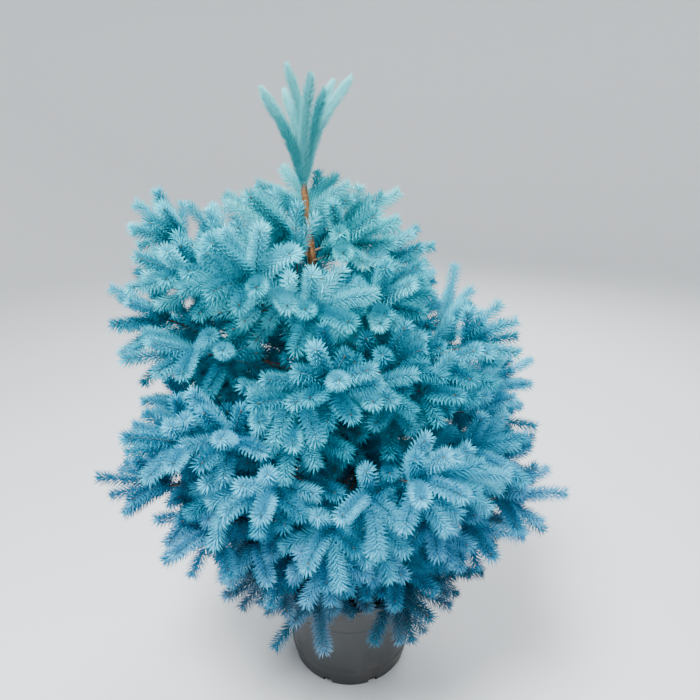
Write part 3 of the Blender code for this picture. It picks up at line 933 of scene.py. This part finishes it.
def grow_bough_foliage(shoots, bough):
    """The yearly shoots along a bough past its bare part, and the side twigs at each ring."""
    years = max(1, round((bough.length - bough.bare) / YEAR_GROWTH))
    step = (bough.length - bough.bare) / years
    side_length = step * SIDE_VIGOUR
    parent = None
    if bough.on_trunk:
        foot, end = bough.point(UPRIGHT_START / 2)[0], bough.point(bough.bare)[0]
        shoots.append(Shoot(bough.name, f"{bough.name} foot", 0, foot, end, None, 1))
    for year in range(years):
        start, direction = bough.point(bough.bare + step * year)
        end, end_direction = bough.point(bough.bare + step * (year + 1))
        parent = Shoot(bough.name, bough.name, 0, start, end, parent, years - year)
        shoots.append(parent)
        if year == 0:
            ring = start + direction * RING_OFFSET
            grow_side_twigs(
                shoots, f"{bough.name} foot", parent, ring, direction, years, side_length
            )
        left = years - 1 - year
        if left:
            grow_side_twigs(
                shoots, f"{bough.name} {year}", parent, end, end_direction, left, side_length
            )


def grow_upright(shoots, bough):
    """A steep shoot beside the stem's newest stretch, from the foot of a mass of the top ring."""
    twig = f"{bough.name} upright"
    parent = next(shoot for shoot in shoots if shoot.twig == bough.name)
    start = bough.point(UPRIGHT_START)[0]
    leaving = heading(bough.turn + draw(twig, "turn", -16, 16), draw(twig, "rise", 42, 56))
    grow_twig(shoots, twig, parent, start, leaving, 1, UPRIGHT_LENGTH)


def grow_sprig(shoots, place, parent, start, direction, years=1):
    """A short twig that leaves older wood between its bud rings."""
    first, second = square_to(direction)
    turn = math.radians(draw(place, "turn", 0, 360))
    angle = math.radians(draw(place, "angle", 46, 66))
    outward = first * math.cos(turn) + second * math.sin(turn)
    leaving = unit(direction * math.cos(angle) + outward * math.sin(angle) + 0.15 * UP)
    length = SPRIG_LENGTH * draw(place, "length", 0.8, 1.3)
    grow_twig(shoots, place, parent, start, leaving, years, length)


def grow_sprigs(shoots):
    """Short twigs between the bud rings, on older shoots, bare boughs and the trunk."""
    for shoot in [shoot for shoot in shoots if shoot.years > 1]:
        for number in range(SPRIGS_ON_SHOOT):
            place = f"{shoot.twig} {shoot.years} sprig {number}"
            share = (number + draw(place, "share", 0.3, 0.9)) / SPRIGS_ON_SHOOT
            start = shoot.start + (shoot.end - shoot.start) * share
            grow_sprig(shoots, place, shoot, start, unit(shoot.end - shoot.start))
    low, high = SPRIG_STRETCH
    for bough in boughs:
        if bough.on_trunk:
            continue
        wood = Shoot(bough.name, bough.name, 0, None, None, None, 0)
        for number in range(SPRIGS_ON_BOUGH):
            place = f"{bough.name} wood {number}"
            share = low + (high - low) * (number + draw(place, "share", 0, 0.8)) / SPRIGS_ON_BOUGH
            start, direction = bough.point(share * bough.bare)
            grow_sprig(shoots, place, wood, start, direction, 2)
    for ring in range(len(RINGS) - 1):
        low, high = RINGS[ring][0], RINGS[ring + 1][0]
        for number in range(SPRIGS_ON_TRUNK):
            place = f"trunk {ring} {number}"
            wood = Shoot(f"{ring + 1}_{place}", place, FINEST_ORDER - 1, None, None, None, 0)
            height = low + (high - low) * (number + draw(place, "height", 0.5, 1)) / SPRIGS_ON_TRUNK
            leaving = heading(137.5 * number + draw(place, "turn", 0, 50), draw(place, "rise", 25, 45))
            length = SPRIG_LENGTH * draw(place, "length", 0.95, 1.3)
            grow_twig(shoots, place, wood, trunk_point(height), leaving, 2, length)


def grow_top(shoots):
    """Single shoots on the newest stretch of the stem, to both sides of its bare front."""
    low, high = (RINGS[-1][0] + (FORK_HEIGHT - RINGS[-1][0]) * share for share in TOP_STRETCH)
    for number in range(TOP_SHOOTS):
        place = f"top {number}"
        wood = Shoot("6_top", place, 0, None, None, None, 0)
        height = low + (high - low) * number / TOP_SHOOTS
        turn = (1, -1)[number % 2] * (draw(place, "turn", 66, 90) + 55 * ((number // 2) % 2))
        leaving = heading(turn, draw(place, "rise", 26, 44))
        grow_twig(shoots, place, wood, trunk_point(height), leaving, 1, draw(place, "length", 0.085, 0.115))


def grow_leader(shoots):
    """The leader and the rings of steep shoots round its foot, above the trunk's fork."""
    foot = trunk_point(FORK_HEIGHT)
    upward = heading(-90, 90 - TRUNK_LEAN)
    leader = Shoot("leader", "leader", 0, foot, foot + upward * LEADER_LENGTH, None, 1)
    shoots.append(leader)
    start = foot + upward * RING_OFFSET
    for number in range(LEADER_SHOOTS):
        twig = f"leader {number}"
        turn = 20 + 360 / LEADER_SHOOTS * number + draw(twig, "turn", -10, 10)
        direction = unit(heading(turn, draw(twig, "rise", 58, 68)) + upward * 0.1)
        end = start + direction * draw(twig, "length", 0.15, 0.185)
        shoots.append(Shoot("leader", twig, 1, start, end, leader, 1))
    for number in range(INNER_SHOOTS):
        twig = f"leader inner {number}"
        turn = 50 + 360 / INNER_SHOOTS * number + draw(twig, "turn", -12, 12)
        direction = unit(heading(turn, draw(twig, "rise", 56, 68)) + upward * 0.1)
        begin = start - upward * draw(twig, "start", 0.0, 0.03)
        end = begin + direction * draw(twig, "length", 0.11, 0.16)
        shoots.append(Shoot("leader", twig, 2, begin, end, leader, 1))


def distances(start, end, starts, ends):
    """How near one straight piece comes to each of several others, between centre lines."""
    along, others, apart = end - start, ends - starts, start - starts
    a = along @ along
    e = np.einsum("ij,ij->i", others, others)
    f = np.einsum("ij,ij->i", others, apart)
    b = others @ along
    c = apart @ along
    spread = np.maximum(a * e - b * b, 1e-12)
    s = np.clip((b * f - c * e) / spread, 0, 1)
    t = (b * s + f) / e
    held = np.clip(t, 0, 1)
    s = np.where(t != held, np.clip((b * held - c) / a, 0, 1), s)
    nearest = start + s[:, None] * along - starts - held[:, None] * others
    return np.linalg.norm(nearest, axis=1)


def limb_lines():
    """The bare wood as straight pieces: their starts, ends, radii and names."""
    pieces = []
    heights = np.linspace(0, FORK_HEIGHT, 16)
    for low, high in zip(heights[:-1], heights[1:]):
        pieces.append((trunk_point(low), trunk_point(high), trunk_radius(low), "trunk"))
    for bough in boughs:
        foot, tip = bough.point(0)[0], bough.point(bough.bare)[0]
        pieces.append((foot, tip, bough.radius(0), bough.name))
    return [np.array([piece[column] for piece in pieces]) for column in range(4)]


def crosses_front(shoot):
    """Whether a shoot comes in front of the newest stretch of the stem, which is bare there."""
    stem = trunk_point(shoot.end[2] - COMPOST_LEVEL)
    return abs(shoot.end[0] - stem[0]) < OPEN_FRONT and shoot.end[1] < stem[1]


def keep_clear_shoots(shoots):
    """Keeps the shoots that have room beside the limbs and each other, the main ones first."""
    limb_starts, limb_ends, limb_radii, limb_names = limb_lines()
    count = 0
    starts, ends = np.zeros((len(shoots), 3)), np.zeros((len(shoots), 3))
    masses = np.zeros(len(shoots), "U16")
    for shoot in sorted(shoots, key=lambda s: (s.order, -s.years)):
        if shoot.parent is not None and not shoot.parent.kept:
            continue
        if min(shoot.start[2], shoot.end[2]) < COMPOST_LEVEL + LOWEST_FOLIAGE:
            continue
        if shoot.ring == len(RINGS) and shoot.order > 0 and crosses_front(shoot):
            continue
        middle = (shoot.start + shoot.end) / 2
        other = limb_names != shoot.mass
        if shoot.order == 0 or shoot.mass == "leader":
            other &= limb_names != "trunk"
        room = distances(middle, shoot.end, limb_starts[other], limb_ends[other])
        if (room < limb_radii[other] + LIMB_ROOM).any():
            continue
        other = masses[:count] != shoot.mass
        if other.any():
            near = distances(middle, shoot.end, starts[:count][other], ends[:count][other])
            if near.min() < MASS_ROOM:
                continue
        own = masses[:count] == shoot.mass
        if shoot.order > 1 and shoot.mass != "leader" and own.any():
            near = distances(middle, shoot.end, starts[:count][own], ends[:count][own])
            if near.min() < OWN_ROOM:
                continue
        shoot.kept = True
        starts[count], ends[count], masses[count] = shoot.start, shoot.end, shoot.mass
        count += 1
    return [shoot for shoot in shoots if shoot.kept]


def twig_tree():
    """Round wood along lines, as thick as their points say."""
    tree, given = grow_tree("twig_wood", ("Sides", "Int", 6))
    lines = wire(tree, "GeometryNodeMeshToCurve", {"Mesh": given["Geometry"]})
    thick = wire(tree, "GeometryNodeInputNamedAttribute", {"Name": "thick"}, data_type="FLOAT")
    ring = wire(
        tree, "GeometryNodeCurvePrimitiveCircle", {"Resolution": given["Sides"], "Radius": 1.0}
    )
    wood = wire(
        tree, "GeometryNodeCurveToMesh",
        {"Curve": lines.outputs["Curve"], "Profile Curve": ring.outputs["Curve"],
         "Scale": thick.outputs["Attribute"], "Fill Caps": True},
    )
    close_tree(tree, wood.outputs["Mesh"], given)
    return tree


def line_mesh(name, lines, **values):
    """A mesh of open lines, each a list of points, with one list of values for every point."""
    mesh = bpy.data.meshes.new(name)
    points, edges = [], []
    for line in lines:
        edges += [(len(points) + step, len(points) + step + 1) for step in range(len(line) - 1)]
        points += [tuple(point) for point in line]
    mesh.from_pydata(points, edges, [])
    for value_name, numbers in values.items():
        attribute = mesh.attributes.new(value_name, "FLOAT", "POINT")
        attribute.data.foreach_set("value", np.array(numbers, np.float32))
    return mesh


shoots = []
for bough in boughs:
    grow_bough_foliage(shoots, bough)
    if bough.on_trunk:
        grow_upright(shoots, bough)
grow_leader(shoots)
grow_top(shoots)
grow_sprigs(shoots)
shoots = keep_clear_shoots(shoots)

bough_of = {bough.name: bough for bough in boughs}
foliage_nodes = [f"foliage_{bough.name}" for bough in boughs] + ["foliage_leader"]


def wood_radius(shoot, share):
    """The twig's radius part of the way along one of its shoots."""
    if shoot.order == 0 and shoot.mass in bough_of:
        bough = bough_of[shoot.mass]
        root = TOP_BOUGH_RADIUS if bough.on_trunk else bough.radius(bough.bare)
        whole = bough.length - bough.bare
        years = max(1, round(whole / YEAR_GROWTH))
        passed = (years - shoot.years + share) / years
        return root + (TWIG_RADIUS - root) * passed ** 0.8
    if shoot.mass == "leader" and shoot.order == 0:
        return TRUNK_TIP_RADIUS + (TWIG_RADIUS - TRUNK_TIP_RADIUS) * share
    return TWIG_RADIUS + TWIG_THICKENING * (shoot.years - share)


wood = twig_tree()
# The newest twigs' dark teal is painted shade: the colour of the shaded needle bases round them, not of the
# wood.
for name, colour, crack, new in (
    ("new_twigs", (0.10, 0.24, 0.28), (0.06, 0.15, 0.18), True),
    ("old_twigs", (0.19, 0.12, 0.08), (0.06, 0.035, 0.025), False),
):
    finish = bark(name, colour, crack)
    lines, thick = [], []
    for shoot in shoots:
        if (shoot.years == 1 and shoot.twig != "leader") == new:
            lines.append(shoot.line())
            thick += [wood_radius(shoot, step / SHOOT_STEPS) for step in range(SHOOT_STEPS + 1)]
    mesh = run_tree(wood, line_mesh(name, lines, thick=thick), finish, Sides=4 if new else 6)
    mesh.shade_smooth()
    finish_piece(name, mesh, finish, "bark", *foliage_nodes)


# The needles: stiff, pointed, keeled and about 2 cm long, set all round every shoot on a close
# spiral that ends in a blunt tuft. They lean forward, most of all on the upper side. A wax bloom
# makes those of the newest shoots pale blue over deeper blue-green, and the tones also hold painted
# light: a painted highlight on the outer shoots, and painted shade on shoots near the stem, on the
# under layers and on older needles.
NEEDLE_OVER_TIP = 0.003
NEEDLE_LIFT = 0.06
UPPER_PRESS = 16.0
NEEDLE_SWAY = 4.0
SPIRAL_TURN = 137.508
SHORT_FOOT = 0.012
CLOSING = 0.009
TUFT_NEEDLES = 18
TUFT_FIRST = 2
TUFT_LENGTH = 0.0185
TUFT_LEAN = 62

# Each layer of needles: length, width, spacing along the shoot, lean and lean at the tip.
NEW_NEEDLES = (0.0240, 0.0020, 0.00043, 61, 47)
UNDER_NEEDLES = (0.0170, 0.0031, 0.00095, 52, 42)
INNER_NEEDLES = (0.0230, 0.0028, 0.00080, 60, 45)
OLD_NEEDLES = (0.0210, 0.0028, 0.00110, 60, 45)
INNER_REACH = 0.21

# The leader's needles stand closer, lean further forward and close into a slimmer tip.
LEADER_SPACING_SHARE = 0.6
LEADER_LEAN_LESS = 22
LEADER_TIP_LEAN = 16
LEADER_CLOSING = 0.022


def needle_keel():
    """One needle along +Z, a unit long and a unit wide: two faces that meet in a keel."""
    points = [(0, 0, 0), (-0.5, 0.4, 0.62), (0.5, 0.4, 0.62), (0, 0, 1)]
    return drawn_object("needle", points, [(0, 1, 3), (0, 3, 2)])


def needle_tuft():
    """The rounded tuft of needles on the end of a shoot, which points along +Z from the origin."""
    points, faces = [], []
    for number in range(TUFT_FIRST, TUFT_NEEDLES):
        turn = math.radians(SPIRAL_TURN) * number
        lean = math.radians(TUFT_LEAN) * math.sqrt((number + 0.5) / TUFT_NEEDLES)
        out = np.array((math.cos(turn), math.sin(turn), 0))
        side = np.array((-math.sin(turn), math.cos(turn), 0))
        aim = math.cos(lean) * UP + math.sin(lean) * out
        inner = math.cos(lean) * out - math.sin(lean) * UP
        length = TUFT_LENGTH * draw("tuft", number, 0.94, 1.04)
        foot = 0.0008 * out
        middle = foot + 0.5 * length * aim - 0.4 * NEW_NEEDLES[1] * inner
        first = len(points)
        points += [foot, middle - 0.5 * NEW_NEEDLES[1] * side, middle + 0.5 * NEW_NEEDLES[1] * side]
        points.append(foot + length * aim)
        faces += [(first, first + 1, first + 3), (first, first + 3, first + 2)]
    return drawn_object("tuft", points, faces)


def needle_tree():
    """Needles on a spiral along lines. They lean forward, more so on top and towards the tip."""
    tree, given = grow_tree(
        "needles", ("Needle", "Object", None), ("Spacing", "Float", 0.0004),
        ("Length", "Float", 0.02), ("Width", "Float", 0.0015), ("Lean", "Float", 55.0),
        ("Tip Lean", "Float", 12.0), ("Closing", "Float", 0.009),
        ("Upper Press", "Float", 14.0), ("Lift", "Float", 0.1), ("Seed", "Int", 1),
    )
    lines = wire(tree, "GeometryNodeMeshToCurve", {"Mesh": given["Geometry"]})
    spots = wire(
        tree, "GeometryNodeResampleCurve",
        {"Curve": lines.outputs["Curve"], "Length": given["Spacing"]}, mode="LENGTH",
    )
    tangent = wire(tree, "GeometryNodeInputTangent").outputs["Tangent"]
    normal = wire(tree, "GeometryNodeInputNormal").outputs["Normal"]
    other = vector_in(tree, "CROSS_PRODUCT", tangent, normal)
    index = wire(tree, "GeometryNodeInputIndex").outputs["Index"]
    turn = math_in(tree, "MULTIPLY", index, math.radians(SPIRAL_TURN))
    out = vector_in(
        tree, "ADD",
        vector_in(tree, "SCALE", normal, math_in(tree, "COSINE", turn)),
        vector_in(tree, "SCALE", other, math_in(tree, "SINE", turn)),
    )
    passed = wire(tree, "GeometryNodeSplineParameter").outputs["Length"]
    whole = wire(tree, "GeometryNodeSplineLength").outputs["Length"]
    rest = math_in(tree, "SUBTRACT", whole, passed)
    closing = range_in(tree, rest, (0.0, given["Closing"]), (given["Tip Lean"], given["Lean"]))
    upper = wire(tree, "ShaderNodeSeparateXYZ", {"Vector": out}).outputs["Z"]
    press = math_in(tree, "MULTIPLY", math_in(tree, "MAXIMUM", upper, 0.0), given["Upper Press"])
    sway = chance_in(tree, -NEEDLE_SWAY, NEEDLE_SWAY, given["Seed"])
    lean = math_in(tree, "SUBTRACT", closing, press)
    lean = math_in(tree, "RADIANS", math_in(tree, "ADD", lean, sway))
    aim = vector_in(
        tree, "ADD",
        vector_in(tree, "SCALE", tangent, math_in(tree, "COSINE", lean)),
        vector_in(tree, "SCALE", out, math_in(tree, "SINE", lean)),
    )
    lift = wire(tree, "ShaderNodeCombineXYZ", {"Z": given["Lift"]})
    aim = vector_in(tree, "ADD", aim, lift.outputs["Vector"])
    short_foot = range_in(tree, passed, (0.0, SHORT_FOOT), (0.6, 1.0))
    varied = chance_in(tree, 0.93, 1.03, math_in(tree, "ADD", given["Seed"], 5.0))
    length = math_in(tree, "MULTIPLY", given["Length"], varied)
    length = math_in(tree, "MULTIPLY", length, short_foot)
    size = wire(tree, "ShaderNodeCombineXYZ", {"X": given["Width"], "Y": given["Width"], "Z": length})
    set_copies(
        tree, given, given["Needle"], spots.outputs["Curve"],
        Rotation=aimed(tree, aim, tangent), Scale=size.outputs["Vector"],
    )
    return tree


def tip_tree():
    """One thing set on the end of every line, pointing along it."""
    tree, given = grow_tree("tips", ("Thing", "Object", None))
    lines = wire(tree, "GeometryNodeMeshToCurve", {"Mesh": given["Geometry"]})
    ends = wire(tree, "GeometryNodeCurveEndpointSelection", {"Start Size": 0, "End Size": 1})
    tangent = wire(tree, "GeometryNodeInputTangent").outputs["Tangent"]
    normal = wire(tree, "GeometryNodeInputNormal").outputs["Normal"]
    set_copies(
        tree, given, given["Thing"], lines.outputs["Curve"],
        Selection=ends.outputs["Selection"], Rotation=aimed(tree, tangent, normal, "X"),
    )
    return tree


# The colour of each ring's needles, from the lowest ring to the leader: (pale, fresh, deep).
# These are a lit, a middle and a shaded tone of one needle colour: partly the real wax bloom of the
# newest shoots, partly painted light, with a painted highlight in the pale and painted shade in the
# deep. The hue goes from steel-blue low down to mint-teal at the top, and the rings also grow darker
# downwards, the lowest most, as painted shade under the crown.
RING_COLOURS_WITH_PAINTED_LIGHT = (
    ((0.12, 0.28, 0.41), (0.038, 0.175, 0.275), (0.013, 0.10, 0.17)),
    ((0.12, 0.49, 0.71), (0.038, 0.32, 0.50), (0.012, 0.19, 0.33)),
    ((0.09, 0.59, 0.78), (0.025, 0.40, 0.57), (0.008, 0.23, 0.37)),
    ((0.06, 0.60, 0.75), (0.012, 0.40, 0.53), (0.003, 0.23, 0.34)),
    ((0.10, 0.74, 0.85), (0.022, 0.51, 0.62), (0.005, 0.30, 0.39)),
    ((0.16, 0.80, 0.86), (0.040, 0.57, 0.64), (0.010, 0.35, 0.42)),
    ((0.20, 0.70, 0.72), (0.070, 0.52, 0.55), (0.020, 0.34, 0.38)),
)
# The three tones, from lit to shaded: their difference is partly painted light.
LIT_TO_SHADED_TONES = ("pale", "fresh", "deep")


def reach_of(shoot):
    """How far a shoot's tip is from the trunk's line."""
    return np.linalg.norm((shoot.end - trunk_point(shoot.end[2] - COMPOST_LEVEL))[:2])


def is_inner(shoot):
    """Whether a shoot is deep in the crown, where its needles are fewer."""
    return shoot.ring < len(RINGS) and reach_of(shoot) < INNER_REACH


def shade_of(shoot):
    """Shoots at the outside of the crown are paler than those near the stem: partly their wax bloom, partly
    a painted highlight outside and painted shade inside.
    """
    reach = reach_of(shoot)
    if shoot.mass == "leader":
        reach = 0.55 if shoot.order < 2 else 0.35
    return "pale" if draw(shoot.twig, "shade", 0, 1) < 0.12 + 1.3 * reach else "fresh"


def set_needles(shoots, layer, finish, seed):
    """One layer of needles on some shoots, as one mesh."""
    length, width, spacing, lean, tip_lean = layer
    closing = CLOSING
    if shoots[0].mass == "leader":
        spacing *= LEADER_SPACING_SHARE
        lean -= LEADER_LEAN_LESS
        tip_lean = LEADER_TIP_LEAN
        closing = LEADER_CLOSING
    lines = [shoot.line(NEEDLE_OVER_TIP) for shoot in shoots]
    return run_tree(
        needles, line_mesh("shoots", lines), finish, Needle=needle, Spacing=spacing, Length=length,
        Width=width, Lean=float(lean), Tip_Lean=float(tip_lean), Closing=closing,
        Upper_Press=UPPER_PRESS, Lift=NEEDLE_LIFT, Seed=seed,
    )


def needle_layers(shoots, name, finish, seed):
    """All the needles of one shade on one ring's shoots: their own, and the under layer of the shoots one
    shade paler, which is painted shade inside those shoots.
    """
    new = [shoot for shoot in shoots if shoot.years == 1]
    old = [shoot for shoot in shoots if shoot.years > 1 and name == LIT_TO_SHADED_TONES[-1]]
    own = [shoot for shoot in new if shade_of(shoot) == name]
    outer = [shoot for shoot in own if not is_inner(shoot)]
    inner = [shoot for shoot in own if is_inner(shoot)]
    # Under the needles of each shoot lies a layer in the next darker tone: painted shade inside the shoot.
    paler = LIT_TO_SHADED_TONES[:LIT_TO_SHADED_TONES.index(name)][-1:]
    under = [shoot for shoot in new if shade_of(shoot) in paler and not is_inner(shoot)]
    layers = []
    for group, layer, shift in (
        (outer, NEW_NEEDLES, 0), (inner, INNER_NEEDLES, 0), (under, UNDER_NEEDLES, 3),
        (old, OLD_NEEDLES, 6),
    ):
        if group:
            layers.append(set_needles(group, layer, finish, seed + shift))
    if own and own[0].mass != "leader":
        ends = line_mesh("ends", [shoot.line(NEEDLE_OVER_TIP) for shoot in own])
        layers.append(run_tree(tips, ends, finish, Thing=tuft))
    return layers


def closed_bud():
    """One winter bud that points along +Z: a blunt cone of scales on the end of the wood."""
    points, faces = [], []
    for height, radius, turn in ((-0.001, 0.0011, 0), (0.0018, 0.0022, 36), (0.0045, 0.0014, 0)):
        for side in range(5):
            angle = math.radians(72 * side + turn)
            points.append((radius * math.cos(angle), radius * math.sin(angle), height))
    for first in (0, 5):
        for side in range(5):
            a, b = first + side, first + (side + 1) % 5
            faces += [(a, b, a + 5), (b, b + 5, a + 5)]
    points.append((0, 0, 0.0068))
    faces += [(10 + side, 10 + (side + 1) % 5, 15) for side in range(5)]
    return drawn_object("bud", points, faces)


needle = needle_keel()
tuft = needle_tuft()
bud = closed_bud()
needles = needle_tree()
tips = tip_tree()
for ring in range(1, LEADER_RING + 1):
    nodes = [node for node in foliage_nodes if node.startswith(f"foliage_{ring}_")] or ["foliage_leader"]
    ring_shoots = [shoot for shoot in shoots if shoot.ring == ring]
    for shade, name in enumerate(LIT_TO_SHADED_TONES):
        # Each tone is a material of its own: lit and shaded copies of the ring's needle colour.
        finish = plain_material(f"needles_{ring}_{name}", RING_COLOURS_WITH_PAINTED_LIGHT[ring - 1][shade], 0.55, 0.16)
        layers = needle_layers(ring_shoots, name, finish, 10 * ring + shade)
        if layers:
            finish_piece(f"needles_{ring}_{name}", joined(layers), finish, "blue_needles", *nodes)

bud_scales = plain_material("bud_scales", (0.30, 0.19, 0.12), 0.6, 0.3)
ends = line_mesh("ends", [shoot.line() for shoot in shoots if shoot.years == 1])
finish_piece("buds", run_tree(tips, ends, bud_scales, Thing=bud), bud_scales, "bark", *foliage_nodes)
for model in (needle, tuft, bud):
    bpy.data.objects.remove(model)


# The place it is shown in: a plain pale floor and soft light from large lamps, seen from a
# little above the plant's top, as in the photograph.
CAMERA_DISTANCE = 1.15
CAMERA_ABOVE_COMPOST = 1.00
CAMERA_PITCH = 21
IMAGE_SIDE = 700
FOCAL_PIXELS = 582
SENSOR_WIDTH = 36
LIT_POINT = (0, 0, 0.7)
FLOOR_RADIUS = 4.5
COVE_RADIUS = 2.0
WALL_HEIGHT = 5.5

cove = [
    (FLOOR_RADIUS + COVE_RADIUS * math.sin(angle), COVE_RADIUS * (1 - math.cos(angle)))
    for angle in np.linspace(0, math.pi / 2, 13)
]
floor_mesh = turned_mesh("floor", [(0, 0)] + cove + [(FLOOR_RADIUS + COVE_RADIUS, WALL_HEIGHT)], 96)
floor_mesh.shade_smooth()
floor_mesh.materials.append(plain_material("floor_paint", (0.80, 0.81, 0.82), 0.9, 0.2))
object_of("floor", floor_mesh)


def add_lamp(name, place, side, power, colour):
    """A round lamp that is turned towards the middle of the crown."""
    light = bpy.data.lights.new(name, "AREA")
    light.shape = "DISK"
    light.size = side
    light.energy = power
    light.color = colour
    lamp = object_of(name, light)
    aim = np.array(LIT_POINT, float) - np.array(place, float)
    lamp.location = place
    lamp.rotation_euler = (
        math.acos(-aim[2] / np.linalg.norm(aim)), 0, math.atan2(-aim[0], aim[1])
    )


add_lamp("key", (-0.7, -1.2, 3.4), 1.2, 255, (0.94, 0.98, 1.0))
add_lamp("fill", (2.2, -2.0, 1.7), 2.2, 30, (0.92, 0.97, 1.0))
add_lamp("back", (1.0, 2.5, 2.8), 2.2, 120, (0.95, 0.98, 1.0))

world = bpy.data.worlds.new("studio")
world.use_nodes = True
world.node_tree.nodes["Background"].inputs["Color"].default_value = (0.90, 0.95, 1.0, 1)
world.node_tree.nodes["Background"].inputs["Strength"].default_value = 0.65
bpy.context.scene.world = world

camera = bpy.data.cameras.new("camera")
camera.sensor_width = SENSOR_WIDTH
camera.lens = SENSOR_WIDTH * FOCAL_PIXELS / IMAGE_SIDE
viewer = object_of("camera", camera)
viewer.location = (0, -CAMERA_DISTANCE, COMPOST_LEVEL + CAMERA_ABOVE_COMPOST)
viewer.rotation_euler = (math.radians(90 - CAMERA_PITCH), 0, 0)
bpy.context.scene.camera = viewer
